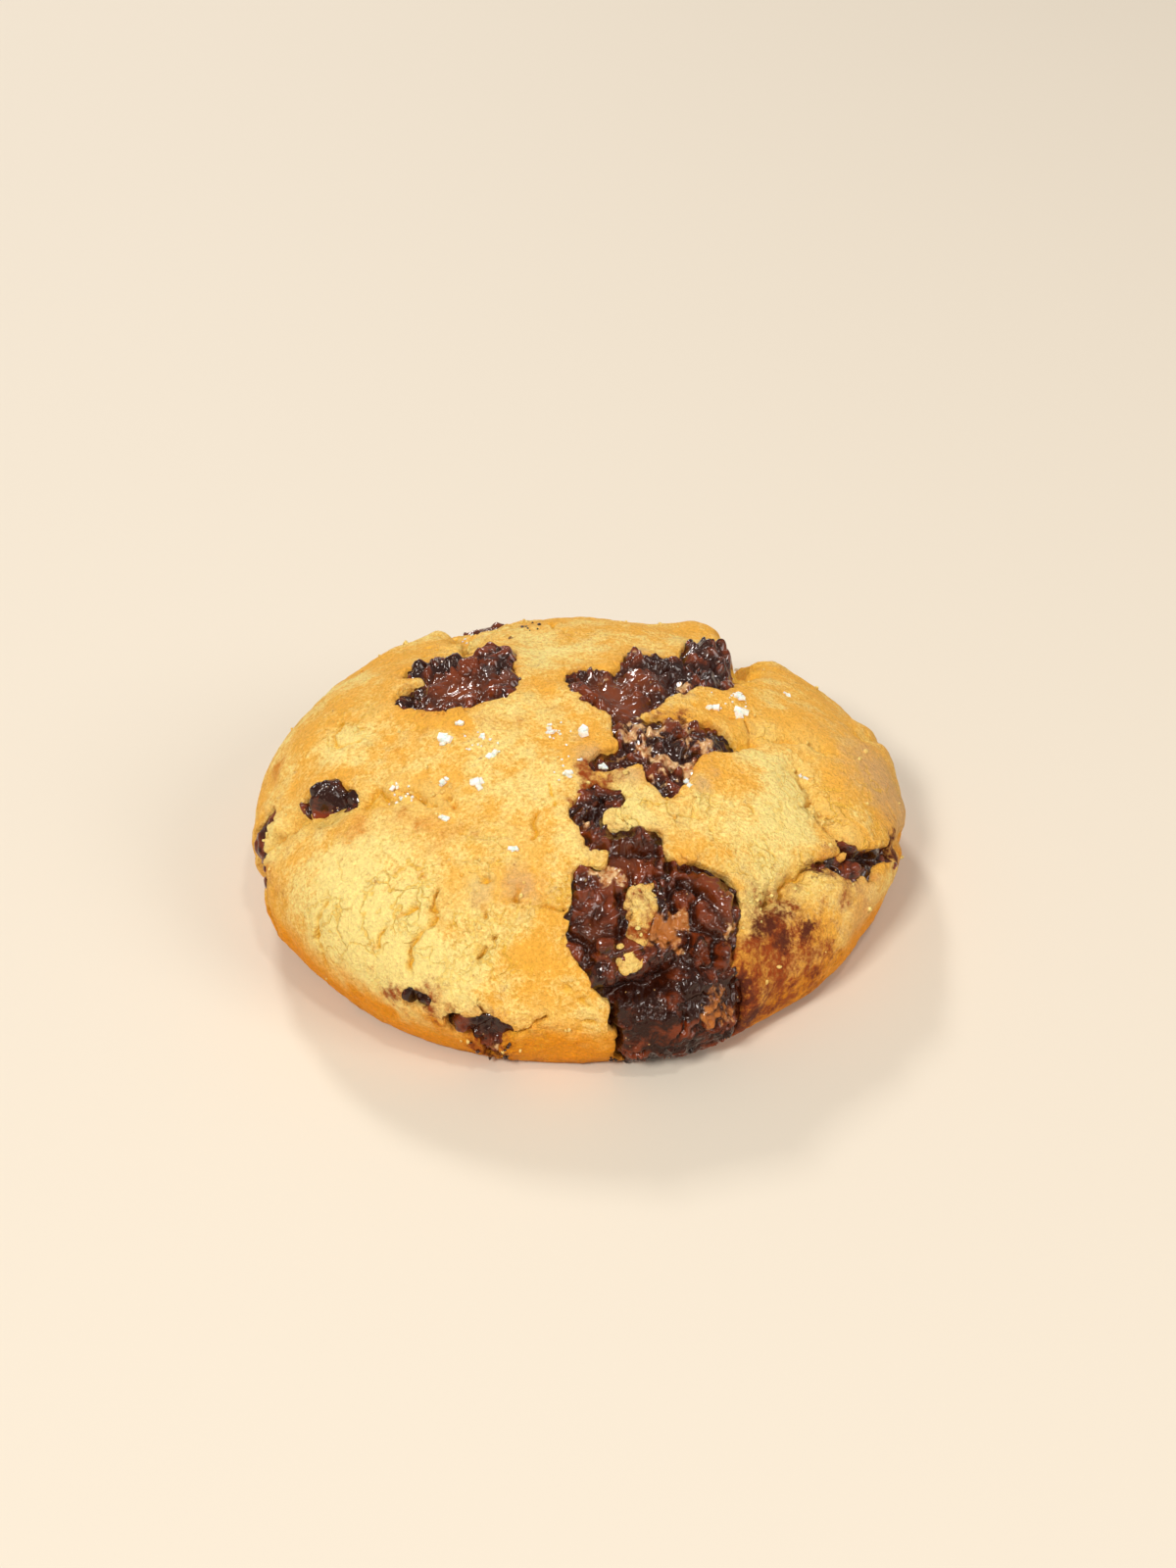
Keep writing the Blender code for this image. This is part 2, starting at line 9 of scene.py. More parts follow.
import bmesh
import bpy
import numpy as np
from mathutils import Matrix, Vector


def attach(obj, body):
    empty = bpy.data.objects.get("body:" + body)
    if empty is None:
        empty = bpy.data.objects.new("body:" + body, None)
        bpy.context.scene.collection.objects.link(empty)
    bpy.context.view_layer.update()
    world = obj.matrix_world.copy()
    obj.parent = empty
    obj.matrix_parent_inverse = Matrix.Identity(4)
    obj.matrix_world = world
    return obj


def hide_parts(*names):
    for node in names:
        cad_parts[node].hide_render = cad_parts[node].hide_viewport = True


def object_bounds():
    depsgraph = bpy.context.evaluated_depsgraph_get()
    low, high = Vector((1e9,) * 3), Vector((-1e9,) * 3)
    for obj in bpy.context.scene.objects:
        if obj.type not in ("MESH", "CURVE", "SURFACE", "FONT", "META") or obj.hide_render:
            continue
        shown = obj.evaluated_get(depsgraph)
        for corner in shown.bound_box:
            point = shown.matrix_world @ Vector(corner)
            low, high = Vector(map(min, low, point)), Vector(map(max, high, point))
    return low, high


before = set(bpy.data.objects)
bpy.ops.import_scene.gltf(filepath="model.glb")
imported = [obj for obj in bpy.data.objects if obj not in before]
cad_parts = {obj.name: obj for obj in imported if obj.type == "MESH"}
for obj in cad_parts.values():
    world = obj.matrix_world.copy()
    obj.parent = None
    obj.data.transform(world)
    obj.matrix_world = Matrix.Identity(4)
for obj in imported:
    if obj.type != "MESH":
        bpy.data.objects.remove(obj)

bl_info = {
    "name": "Chocolate chunk cookie",
    "version": (1, 0, 0),
    "blender": (4, 5, 0),
    "location": "View3D > Sidebar > Cookie",
    "description": "Adds the crust, melted chocolate, salt and crumbs of a thick cookie",
    "category": "Add Mesh",
}

CAD_LOW, CAD_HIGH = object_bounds()

MM = 0.001
TINY = 1e-9
BODY = "root"
DOUGH_NODE = "cookie_dough"

# The pillow: a superellipse turned round, with a slightly wavy and tilted form
RADIUS = 42.6
HEIGHT = 28.9
WAIST_HEIGHT = 9.0
TOP_ROUNDNESS = 1.93
BOTTOM_ROUNDNESS = 1.65
BASE_SHARE = 0.915
OUTLINE_WAVES = ((2, 0.46, 0.93), (3, 0.12, 0.40))
TILT_TO_LEFT = 0.063
TILT_TO_BACK = 0.011
CURVE_STEPS = 400
LOWEST_SLOPE = -0.15

# Fineness of the meshes
CRUST_CELLS = 188
LIP_BAND = 0.55
LIP_CUTS = 2
WIDE_CRACK_BAND = 0.95
CRACK_BAND = 0.38
DETAIL_CUTS = 1
TORN_ENOUGH = 0.3
MELT_CELL = 0.17
BASE_RINGS = (0.985, 0.95, 0.88, 0.76, 0.6, 0.4, 0.2)
SHEET_SCALE = 1.6
SHEET_MARGIN = 2.0

# Numbers of the calculations, the last three of which scramble a lattice cell into a number
BLEND = 1.2
PROBE = 0.05
FAR = 1000.0
EDGE_SPARE = 0.01
SNAP_STEPS = 4
SNAP_SOFTNESS = 0.1
LATTICE_FACTORS = (374761393, 668265263, 1442695041, 97)
LATTICE_MIXERS = (1274126177, 2246822519)
WORD = 0xFFFFFFFF

# Layers of unevenness: cell, height, seed
LUMP_CELLS = ((17.0, 0.75, 3), (7.5, 0.28, 8))
GRAIN_CELLS = ((3.4, 0.15, 44), (1.9, 0.12, 41), (0.95, 0.09, 42), (0.5, 0.04, 43))
ISLE_RAGS = ((1.1, 0.75, 36), (0.5, 0.35, 37))
EDGE_RAGS = ((2.7, 0.50, 31), (1.2, 0.30, 32), (0.55, 0.12, 33))
CRACK_RAGS = ((1.7, 0.75, 51), (0.9, 0.26, 54))
CRUMB_CELLS = ((1.35, 0.62, 61), (0.66, 0.34, 64))
BLOTCH_RAGS = ((3.2, 1.7, 101), (1.3, 0.9, 104), (0.6, 0.45, 107))
TORN_RAG = (2.4, 0.5, 91)
LOW_RAGS = ((5.0, 1.6, 93), (1.3, 0.7, 94))
BASE_HOLLOWS = ((3.1, 0.16, 95), (1.4, 0.10, 96))

# Grains packed side by side: how far each strays from its cell's middle, and how steep it is
PEBBLE_JITTER = 0.42
PEBBLE_SHARPNESS = 1.6

# Heights above the base over which the broad and the fine unevenness fade in, and the base's flat rim
BROAD_FADE = 3.0
FINE_FADE = 0.8
BASE_RIM = 3.0

# The dough's rim round the chocolate
RIM_RISE = 0.55
RIM_PLACE = 0.9
RIM_WIDTH = 1.5
POCKET_DEPTH = 2.3
POCKET_WALL = 0.35

# Swellings of the crust: u, v, reach, height
SWELLINGS = (
    (-23.0, -33.0, 17.0, 0.9),
    (-16.0, -9.8, 6.0, 0.9),
    (-33.0, 4.0, 11.0, 0.5),
    (-1.0, 24.0, 9.0, 0.5),
    (29.0, 1.0, 9.0, 0.7),
    (37.0, -13.0, 5.0, 1.1),
    (38.0, -33.0, 11.0, 0.7),
    (13.0, -50.0, 9.0, 1.1),
    (-41.0, -24.0, 8.0, 0.7),
    (22.0, -16.0, 8.0, 0.6),
    (16.5, 31.0, 4.0, 1.5),
    (-15.2, 31.0, 5.5, -3.7),
    (-20.8, 28.8, 2.4, 1.6),
    (29.5, 25.0, 7.0, 0.6),
    (-27.0, 26.0, 5.0, 0.8),
    (42.5, 13.0, 4.0, 1.1),
)

# Folds of the crust: the chart points that each one runs through, with its depth and width there
FOLDS = (
    ((-52.0, -16.0, 1.7, 1.5), (-38.3, -15.4, 1.7, 1.5), (-33.0, -16.6, 1.7, 1.5), (-28.0, -16.9, 1.3, 1.4),
     (-23.5, -17.8, 0.9, 1.3), (-18.0, -19.6, 0.6, 1.3)),
    ((-20.5, 35.0, 1.2, 1.4), (-18.7, 29.6, 1.7, 1.2), (-17.0, 20.6, 1.8, 1.3), (-16.0, 13.5, 1.6, 1.4)),
    ((21.0, 9.5, 1.2, 1.5), (22.0, 15.0, 2.8, 1.6), (22.4, 22.0, 5.8, 1.8), (22.4, 29.0, 6.5, 1.7),
     (24.5, 40.0, 4.2, 2.0), (27.0, 49.0, 1.5, 2.0)),
    ((23.0, 16.0, 1.0, 2.4), (24.6, 28.4, 2.4, 2.6), (27.0, 42.0, 1.4, 2.6)),
    ((20.5, -6.5, 0.9, 1.3), (23.5, -3.4, 0.9, 1.3), (29.0, -2.0, 0.9, 1.3), (33.0, -2.2, 0.9, 1.3)),
    ((28.0, -7.4, 1.0, 1.3), (30.5, -12.6, 1.0, 1.3), (34.0, -18.0, 1.0, 1.3)),
    ((31.0, -24.0, 1.1, 1.4), (28.2, -27.6, 1.1, 1.4), (24.0, -31.9, 1.1, 1.4)),
    ((44.0, -13.0, 1.2, 1.5), (48.0, -8.0, 1.2, 1.5), (51.0, -2.0, 1.2, 1.5)),
    ((-36.0, 30.0, 1.0, 1.4), (-28.0, 38.0, 1.3, 1.5), (-22.0, 48.0, 1.0, 1.4)),
    ((-2.0, 42.0, 0.8, 1.4), (7.0, 44.5, 1.3, 1.5), (15.0, 43.0, 0.8, 1.4)),
    ((38.0, 8.0, 0.9, 1.4), (46.0, 15.0, 1.2, 1.4), (53.0, 20.0, 1.0, 1.4)),
)

# Narrow cracks: depth, width, then the chart points
CRACKS = (
    (1.0, 0.34, ((-17.6, -32.8), (-18.4, -34.4), (-18.7, -36.3), (-20.2, -37.4),
                 (-22.0, -38.5), (-22.1, -40.8))),
    (0.7, 0.29, ((-23.4, -34.6), (-21.6, -34.6), (-20.2, -33.8))),
    (0.6, 0.27, ((-25.5, -37.0), (-25.0, -35.6), (-23.4, -34.6))),
    (0.9, 0.29, ((-11.6, -36.4), (-11.9, -38.0), (-12.3, -39.2))),
    (1.1, 0.31, ((-10.8, -39.2), (-11.9, -40.4), (-12.7, -41.9))),
    (0.8, 0.29, ((-14.6, -31.2), (-13.4, -31.7), (-12.2, -31.4), (-11.0, -32.3), (-9.6, -32.2))),
    (1.2, 0.34, ((-9.0, -34.2), (-8.2, -33.8))),
    (1.1, 0.29, ((-5.4, -35.7), (-4.2, -35.6), (-2.9, -36.1))),
    (1.2, 0.38, ((-10.1, -51.5), (-7.4, -50.6), (-5.3, -49.6), (-2.6, -48.6), (-2.3, -46.8))),
    (0.7, 0.26, ((-1.4, -45.8), (0.6, -46.6), (1.6, -48.4))),
    (0.6, 0.26, ((-0.4, -51.4), (1.4, -49.8))),
    (0.4, 0.25, ((-3.9, -18.5), (-3.4, -20.2), (-3.3, -21.8))),
    (0.6, 0.26, ((-5.4, -22.4), (-5.6, -24.2), (-6.0, -26.6))),
    (0.9, 0.4, ((20.6, -6.8), (23.3, -3.4), (26.0, -2.8), (29.0, -1.9), (31.8, -2.2))),
    (1.4, 0.4, ((28.0, -7.4), (29.2, -10.0), (30.5, -12.6), (30.2, -14.6), (31.6, -16.5), (34.0, -17.6))),
    (1.3, 0.4, ((24.0, -31.9), (25.4, -30.6), (28.0, -28.0), (30.3, -24.6))),
    (1.0, 0.36, ((-28.6, -16.6), (-26.6, -15.8), (-23.5, -17.6), (-21.2, -17.0),
                 (-19.7, -19.0), (-18.4, -20.2))),
    (1.5, 0.4, ((-16.6, -19.6), (-15.2, -20.9))),
    (1.3, 0.48, ((-18.2, 23.0), (-16.6, 15.8), (-15.8, 10.0))),
    (0.5, 0.25, ((20.8, -17.4), (21.4, -18.6), (21.0, -19.8))),
    (0.6, 0.29, ((-31.6, -1.0), (-32.4, -3.4), (-31.8, -5.6), (-28.8, -6.2))),
    (1.3, 0.48, ((-38.5, -15.2), (-42.0, -15.6), (-46.0, -15.4), (-50.0, -16.4))),
    (0.8, 0.33, ((-33.0, -30.0), (-36.0, -33.0), (-37.0, -37.0))),
)

# Cracks at the back, drawn by chance
REAR_CRACK_SEED = 5
REAR_CRACKS = 13
REAR_SPARE_ANGLE = 0.2
REAR_CRACK_REACH = (16.0, 54.0)
REAR_CRACK_STEPS = (3, 7)
REAR_CRACK_STEP = (1.2, 2.2)
REAR_CRACK_TURN = 0.6
REAR_CRACK_DEPTHS = (0.4, 1.1)
REAR_CRACK_WIDTHS = (0.18, 0.3)

# Torn, crumbly places: u, v, reach, strength
TORN = (
    (7.6, -34.0, 2.4, 1.2), (6.2, -41.2, 2.4, 1.2), (10.0, -38.4, 2.6, 1.2), (3.0, -31.8, 1.8, 1.0),
    (24.0, -3.0, 2.8, 0.9), (29.5, -2.4, 2.8, 0.8), (29.0, -9.5, 2.6, 0.8), (31.4, -14.5, 3.2, 1.0),
    (34.5, -17.4, 2.6, 1.0), (24.4, -31.0, 3.0, 1.1), (22.6, -34.0, 2.4, 0.9), (28.5, -27.2, 2.6, 0.9),
    (7.0, -21.4, 3.6, 1.0), (11.5, -22.4, 3.0, 0.8), (15.0, -19.5, 2.6, 0.7), (5.5, -17.4, 2.2, 0.9),
    (-12.5, -31.8, 3.2, 0.8), (-17.5, -34.0, 3.0, 0.7), (-8.4, -27.4, 3.0, 0.7), (-23.5, -17.2, 3.0, 0.9),
    (-18.4, -19.2, 3.0, 0.9), (-28.0, -16.0, 2.0, 0.8), (-43.0, -15.6, 4.0, 1.1), (-38.0, -15.6, 2.6, 1.0),
    (-31.5, -4.6, 2.4, 0.7), (-26.6, -1.0, 2.0, 0.6), (-14.0, -54.6, 3.4, 1.2), (0.6, -15.8, 2.4, 0.6),
    (-17.0, 18.0, 3.4, 0.9), (-20.0, -37.6, 2.4, 0.6), (-12.2, -40.4, 2.4, 0.6), (12.4, 1.0, 1.8, 0.9),
    (36.2, -22.4, 2.6, 0.8), (2.2, -31.6, 1.8, 0.8), (-5.0, -49.8, 2.6, 0.7), (-14.0, 42.0, 4.0, 0.9),
    (4.0, 46.0, 4.0, 0.9), (34.0, 30.0, 4.0, 0.8), (-33.0, 30.0, 4.0, 0.7), (8.0, -40.5, 2.4, 0.6),
)

# Where a net of fine cracks covers the crust: u, v, reach, strength
CRUMBLY = (
    (-20.0, -34.0, 11.0, 0.9), (-9.0, -36.0, 9.0, 0.8), (-31.0, -31.0, 8.0, 0.6), (-26.0, -3.0, 7.0, 0.7),
    (30.0, -14.0, 8.0, 0.8), (26.0, -28.0, 7.0, 0.8), (12.0, -22.0, 6.0, 0.6), (42.0, -6.0, 10.0, 0.6),
    (-14.0, 30.0, 10.0, 0.7), (12.0, 44.0, 12.0, 0.7), (34.0, 24.0, 8.0, 0.5), (-40.0, 10.0, 8.0, 0.4),
)

# Where the dough's rim leans over the chocolate: u, v, reach, how far
LEANING_RIM = (
    (2.0, -6.6, 3.5, 0.7), (-1.8, -1.4, 3.0, 0.7), (-15.0, -5.8, 5.0, 0.8), (-20.5, -4.4, 4.0, 0.5),
    (-2.2, -36.0, 5.0, 0.6), (16.0, -27.6, 4.0, 0.8), (6.0, -23.6, 3.0, 0.7), (-32.4, -15.6, 3.0, 0.5),
    (40.0, -15.6, 4.5, 1.1), (-14.0, -46.8, 3.0, 0.8), (1.0, -45.0, 4.0, 0.4), (4.0, -52.0, 4.0, 0.4),
)
RIM_LEAN = 0.25
RIM_SPREAD = 2.5
RIM_START = (-0.55, 0.15)
RIM_END = (0.3, 2.3)

# Bands in which marks of the crust fade: heights above the base, then distances from the chocolate
# Low on the sides the crust turns orange-brown: partly real browning, partly a painted reflection of golden
# light from below
AMBER_AND_REFLECTION_BAND = (3.0, 13.0)
UNDER_BAND = (-0.4, 2.6)
# Where the pocket's wall is painted dark: partly chocolate on the wall, partly painted shade in the recess
# under the rim
POCKET_SHADE_BAND = (-0.34, -0.12)
GLOW_REACH = 0.5

# Colour marks of the crust: u, v, reach, strength
# Paler crust: partly real pale mottling, partly a painted highlight on the lit front-left lobes and the low
# left
PALE_AND_HIGHLIGHT = (
    (-33.8, -26.9, 8.0, 0.8), (-27.4, -36.7, 8.0, 1.1), (-22.7, -42.6, 7.0, 1.1), (-12.4, -43.6, 4.0, 0.4),
    (6.9, -22.8, 4.0, 0.7), (13.3, -23.3, 5.0, 0.6), (21.0, -22.8, 5.0, 0.6), (26.6, -17.6, 5.0, 0.7),
    (-31.4, -5.4, 4.0, 0.6), (0.8, 12.6, 4.0, 0.6), (-5.0, 11.6, 4.0, 0.5), (24.0, -9.0, 5.0, 0.5),
    (-44.0, -15.6, 3.0, 0.9), (24.0, -31.0, 3.0, 0.7), (-8.0, -22.0, 6.0, 0.3), (-20.0, 36.0, 7.0, 0.6),
    (20.0, 44.0, 7.0, 0.5), (-42.0, 14.0, 8.0, 0.5),
)
TOASTED = (
    (-43.0, -21.0, 5.0, 0.6), (-45.0, -8.0, 4.0, 0.4),
    (-28.4, -20.8, 4.0, 0.7), (-23.7, -21.9, 4.0, 0.6), (-18.5, -24.6, 4.0, 0.7), (-14.6, -24.1, 3.0, 0.6),
    (-11.4, -24.6, 3.0, 0.5), (-19.1, -29.4, 1.5, 1.0), (-41.6, -2.8, 3.0, 0.9), (-17.6, -34.6, 1.2, 0.9),
    (-22.6, -34.4, 1.2, 0.8), (-9.0, -41.0, 5.0, 0.15), (20.0, -12.0, 5.0, 0.3), (-2.0, -3.0, 3.0, 0.5),
    (-9.5, -8.0, 4.0, 0.5), (-21.0, -8.6, 3.5, 0.5), (-2.4, 19.0, 6.0, 0.4), (18.0, 12.0, 2.4, 0.6),
    (29.0, 13.8, 7.0, 0.15), (-30.0, 10.0, 7.0, 0.15), (21.6, -40.0, 2.4, 0.9), (33.0, -29.6, 1.4, 0.8),
    (11.0, -40.0, 2.2, 1.0), (-26.2, -43.4, 1.2, 0.9), (4.0, 34.0, 8.0, 0.5), (-36.0, 22.0, 8.0, 0.1),
    (40.0, 22.0, 7.0, 0.2), (-15.2, -50.5, 4.0, 0.3), (9.6, -36.0, 1.4, 0.8),
)
# Greyer crust: partly real, partly painted shade on the darker right flank (the large marks at positive u)
TAN_AND_FLANK_SHADE = (
    (42.2, -1.4, 11.0, 0.85), (49.0, -3.0, 11.0, 0.9), (37.0, 3.0, 9.0, 0.5), (40.0, -22.1, 6.0, 0.6),
    (44.0, -27.0, 8.0, 0.7), (37.0, -27.0, 5.0, 0.5), (29.0, -38.7, 6.0, 0.6), (5.8, -16.6, 2.2, 0.9),
    (0.8, -13.4, 2.6, 0.9), (-0.4, -10.0, 1.8, 0.5), (15.2, -17.0, 1.8, 0.9), (-7.4, -33.2, 4.0, 0.75),
    (-12.0, -33.0, 2.6, 0.8), (8.0, 13.0, 2.2, 0.7), (12.6, 1.6, 2.0, 0.8), (-15.8, -46.8, 2.4, 0.5),
    (46.0, 14.0, 9.0, 0.6), (-12.0, 50.0, 8.0, 0.5), (2.8, -31.8, 1.6, 0.8), (17.0, -14.4, 1.4, 0.7),
)
SMEARED = (
    (27.0, -36.0, 6.5, 0.9), (26.0, -43.0, 6.5, 0.9), (24.0, -48.0, 6.0, 1.0), (34.0, -37.0, 6.0, 0.7),
    (7.4, -36.4, 1.7, 0.9), (6.4, -41.8, 1.2, 0.5),
    (8.0, -34.2, 1.3, 0.75), (6.6, -35.2, 1.3, 0.9), (10.8, -38.0, 2.4, 1.2), (12.0, -36.2, 1.6, 1.0),
    (8.8, -37.6, 1.0, 0.9), (2.8, -31.6, 1.4, 0.8),
    (-16.8, -47.4, 1.8, 0.8), (-12.0, -48.2, 1.6, 0.7), (-24.8, -43.4, 2.2, 1.0), (-20.4, -44.8, 1.8, 0.9),
    (2.6, -18.0, 1.8, 0.9), (0.6, -15.4, 1.8, 0.8), (9.0, -3.4, 1.8, 0.8), (12.6, -2.8, 1.6, 0.6),
    (-0.6, -21.6, 1.2, 0.8), (4.4, -16.6, 1.6, 0.7),
    (9.8, -37.6, 2.0, 1.2), (11.4, -39.4, 1.6, 1.2), (9.0, -40.6, 1.2, 0.8), (26.0, -34.4, 4.0, 0.9),
    (24.0, -38.4, 3.0, 0.6), (31.4, -34.2, 3.0, 0.8), (22.2, -43.0, 3.4, 0.9), (28.6, -41.4, 4.0, 0.8),
    (25.0, -47.0, 4.4, 0.9), (33.0, -43.0, 3.6, 0.85), (36.0, -37.0, 3.4, 0.8), (21.6, -50.0, 3.6, 1.1),
    (8.4, -38.4, 1.5, 1.0),
    (7.6, -37.0, 1.2, 0.8), (8.8, -35.2, 0.9, 0.6), (20.6, -38.6, 1.6, 0.8), (19.8, -41.8, 1.8, 1.0),
    (35.4, -23.4, 3.4, 0.7), (46.0, -11.0, 3.4, 0.6), (-14.0, -53.6, 3.4, 0.6), (-26.6, -43.4, 1.4, 0.9),
    (-19.6, -45.4, 1.6, 0.5), (40.0, 37.0, 3.0, 0.7), (-27.0, 42.0, 2.0, 0.6), (12.0, 38.0, 2.0, 0.6),
)
STAINED = (
    (24.7, -35.0, 2.2, 1.0), (27.3, -32.6, 1.9, 0.7), (31.0, -33.1, 2.0, 0.9), (28.1, -36.0, 2.0, 1.0),
    (35.1, -37.7, 1.5, 0.6), (38.1, -34.4, 1.2, 0.5), (22.2, -43.6, 2.8, 1.0), (26.6, -43.0, 2.2, 0.7),
    (31.8, -41.4, 1.5, 0.5), (25.6, -46.9, 3.0, 1.0), (31.8, -44.4, 1.8, 0.6), (37.5, -20.8, 1.8, 0.9),
    (32.0, -24.1, 1.6, 0.8), (44.4, -9.8, 1.9, 0.9), (46.5, -11.8, 1.6, 0.9), (-12.6, 14.6, 0.9, 1.1),
    (-10.4, 18.0, 0.8, 1.1), (-8.4, 23.5, 0.8, 1.1), (-6.0, 24.3, 0.8, 1.1), (-14.0, -55.0, 2.2, 0.8),
    (-19.4, -45.0, 0.7, 0.7), (21.0, -47.0, 2.4, 1.0), (13.4, -4.4, 1.4, 0.7), (14.8, -2.0, 1.0, 0.8),
    (-27.0, 42.0, 1.6, 0.8), (12.0, 38.0, 1.4, 0.8), (40.0, 33.0, 1.6, 0.7), (-46.0, 22.0, 1.4, 0.7),
)

# Each pool of chocolate: strokes of round lobes (u, v, radius), which run into each other, isles of
# dough left standing in it, its depth, how far its middle rises, and knobs (u, v, reach, height)
POOLS = {
    "chocolate_back_left": {
        "strokes": (
            ((-20.6, 0.6, 3.9), (-12.8, 0.8, 4.6)),
            ((-16.5, -0.8, 4.7), (-16.5, 4.2, 3.9)),
            ((-22.4, 7.4, 2.0), (-19.4, 8.6, 2.9)),
            ((-12.2, 5.0, 3.6), (-12.0, 9.8, 3.1)),
        ),
        "depth": 3.2,
        "rise": 0.3,
        "knobs": ((-12.0, 9.5, 3.0, 1.6), (-20.5, 7.5, 3.0, 0.8), (-9.8, 1.5, 2.0, 0.8)),
    },
    "chocolate_back_right": {
        "strokes": (
            ((0.2, 2.6, 3.0), (4.6, 0.2, 5.4), (9.6, 4.8, 5.0)),
            ((7.6, 9.0, 2.8), (12.8, 7.6, 4.2)),
            ((16.6, 8.4, 4.2), (16.8, 16.4, 3.4)),
        ),
        "depth": 3.2,
        "rise": 0.2,
        "knobs": ((16.5, 15.5, 3.6, 2.4), (8.5, 9.5, 2.6, 1.0), (14.5, 5.6, 2.4, 0.6)),
    },
    "chocolate_middle": {
        "strokes": (
            ((5.6, -8.6, 1.9), (11.5, -8.4, 3.8), (16.6, -7.2, 3.1)),
            ((16.6, -7.2, 3.1), (19.4, -7.6, 1.3)),
            ((11.4, -11.0, 4.0), (10.9, -15.4, 2.9), (10.8, -18.3, 1.5)),
            ((7.0, -12.2, 1.8), (2.6, -14.4, 1.9)),
            ((4.6, -4.4, 1.9), (5.4, -8.4, 1.9)),
            ((7.0, -6.6, 1.5), (11.0, -5.8, 1.7), (14.5, -6.2, 1.5)),
        ),
        "depth": 2.8,
        "rise": 0.2,
        "knobs": ((15.8, -8.0, 2.0, 0.7), (11.0, -9.0, 2.2, 0.6)),
    },
    "chocolate_centre": {
        "strokes": (
            ((-0.3, -23.2, 1.7), (2.0, -20.6, 2.1), (4.0, -20.9, 1.7)),
            ((1.0, -23.6, 1.8), (1.6, -26.6, 1.4)),
            ((2.4, -26.9, 1.4), (5.0, -26.9, 1.9), (8.9, -25.9, 1.8)),
        ),
        "depth": 2.6,
        "rise": 0.2,
        "knobs": ((6.5, -26.2, 2.6, 0.7), (1.6, -21.0, 1.6, 0.5)),
    },
    "chocolate_front": {
        "strokes": (
            ((15.6, -32.8, 4.7), (16.2, -38.0, 4.6)),
            ((0.9, -33.6, 3.1), (1.5, -38.4, 3.8), (4.2, -44.0, 3.2)),
            ((4.4, -31.0, 1.5), (9.0, -31.2, 1.8), (13.0, -32.0, 2.4)),
            ((4.6, -28.8, 1.5), (7.6, -28.6, 1.9), (10.6, -30.0, 2.0)),
            ((3.8, -33.4, 1.5), (4.6, -37.0, 1.7)),
            ((11.0, -34.8, 1.7), (10.0, -38.2, 1.5)),
            ((13.0, -38.4, 4.2), (12.5, -44.0, 4.4)),
            ((8.6, -48.8, 4.4), (18.6, -47.0, 4.8)),
            ((9.8, -54.0, 4.2), (19.0, -51.4, 4.3)),
        ),
        "isles": (
            ((8.6, -32.2, 0.5), (7.8, -33.6, 0.7), (6.8, -35.4, 0.4), (6.4, -37.6, 0.3)),
            ((5.4, -40.4, 0.4), (6.2, -42.2, 0.9), (7.6, -41.6, 0.5)),
        ),
        "depth": 3.4,
        "rise": 0.2,
        "knobs": ((12.0, -50.5, 5.0, 1.3), (19.0, -50.0, 5.0, 1.2), (16.5, -33.5, 3.4, 0.8),
                  (10.0, -45.0, 2.0, -1.0)),
    },
    "chocolate_left": {
        "strokes": (((-35.0, -13.6, 1.8), (-32.6, -13.5, 1.8), (-29.8, -15.2, 1.5)),),
        "depth": 2.4,
        "rise": 0.3,
        "knobs": ((-33.6, -12.4, 1.8, 0.5),),
    },
    "chocolate_left_edge": {
        "crinkle": 0.4,
        "strokes": (
            ((-42.6, -11.2, 1.5), (-46.6, -11.8, 1.7), (-46.8, -14.6, 1.3)),
            ((-46.8, -14.6, 1.3), (-46.0, -19.0, 1.6), (-48.0, -23.6, 1.3)),
        ),
        "depth": 2.4,
        "rise": 0.2,
        "knobs": ((-45.5, -11.5, 1.8, 0.5),),
    },
    "chocolate_right": {
        "strokes": (
            ((35.2, -19.0, 1.4), (39.6, -18.0, 2.0), (44.6, -13.2, 1.8)),
            ((32.4, -23.2, 1.2), (36.8, -21.6, 1.6), (40.6, -20.0, 1.3)),
        ),
        "rag": 1.1,
        "crinkle": 0.6,
        "depth": 2.6,
        "rise": -0.2,
        "knobs": ((43.0, -14.4, 1.8, 0.4),),
    },
    "chocolate_front_low": {
        "strokes": (
            ((-17.6, -48.6, 1.4), (-14.2, -49.2, 2.1), (-11.2, -50.0, 1.4)),
            ((-14.2, -50.0, 2.0), (-13.8, -54.0, 1.5)),
        ),
        "rag": 1.7,
        "depth": 2.2,
        "rise": 0.2,
        "knobs": (),
    },
    "chocolate_speck": {
        "strokes": (((-22.8, -44.2, 1.3), (-22.0, -44.6, 1.2)),),
        "rag": 1.8,
        "depth": 1.6,
        "rise": 0.2,
        "knobs": (),
    },
    "chocolate_rear_left": {
        "strokes": (
            ((-10.0, 41.5, 2.8), (-16.5, 40.0, 3.2)),
            ((-13.0, 43.0, 2.4), (-11.0, 47.5, 1.9)),
        ),
        "depth": 3.0,
        "rise": 0.3,
        "knobs": ((-15.0, 40.5, 3.0, 0.9),),
    },
    "chocolate_rear_right": {
        "strokes": (
            ((33.5, 38.0, 2.4), (37.5, 31.5, 2.9), (41.0, 28.0, 2.0)),
            ((36.0, 36.0, 2.2), (38.5, 39.5, 1.8)),
        ),
        "depth": 2.8,
        "rise": 0.3,
        "knobs": ((36.5, 33.5, 2.8, 0.8),),
    },
    "chocolate_rear_low": {
        "strokes": (((2.0, 51.0, 1.8), (6.0, 50.0, 2.3), (9.5, 51.5, 1.5)),),
        "depth": 2.2,
        "rise": 0.2,
        "knobs": (),
    },
}
POOL_LUMPS = ((4.2, 0.45, 21), (2.2, 0.18, 22))

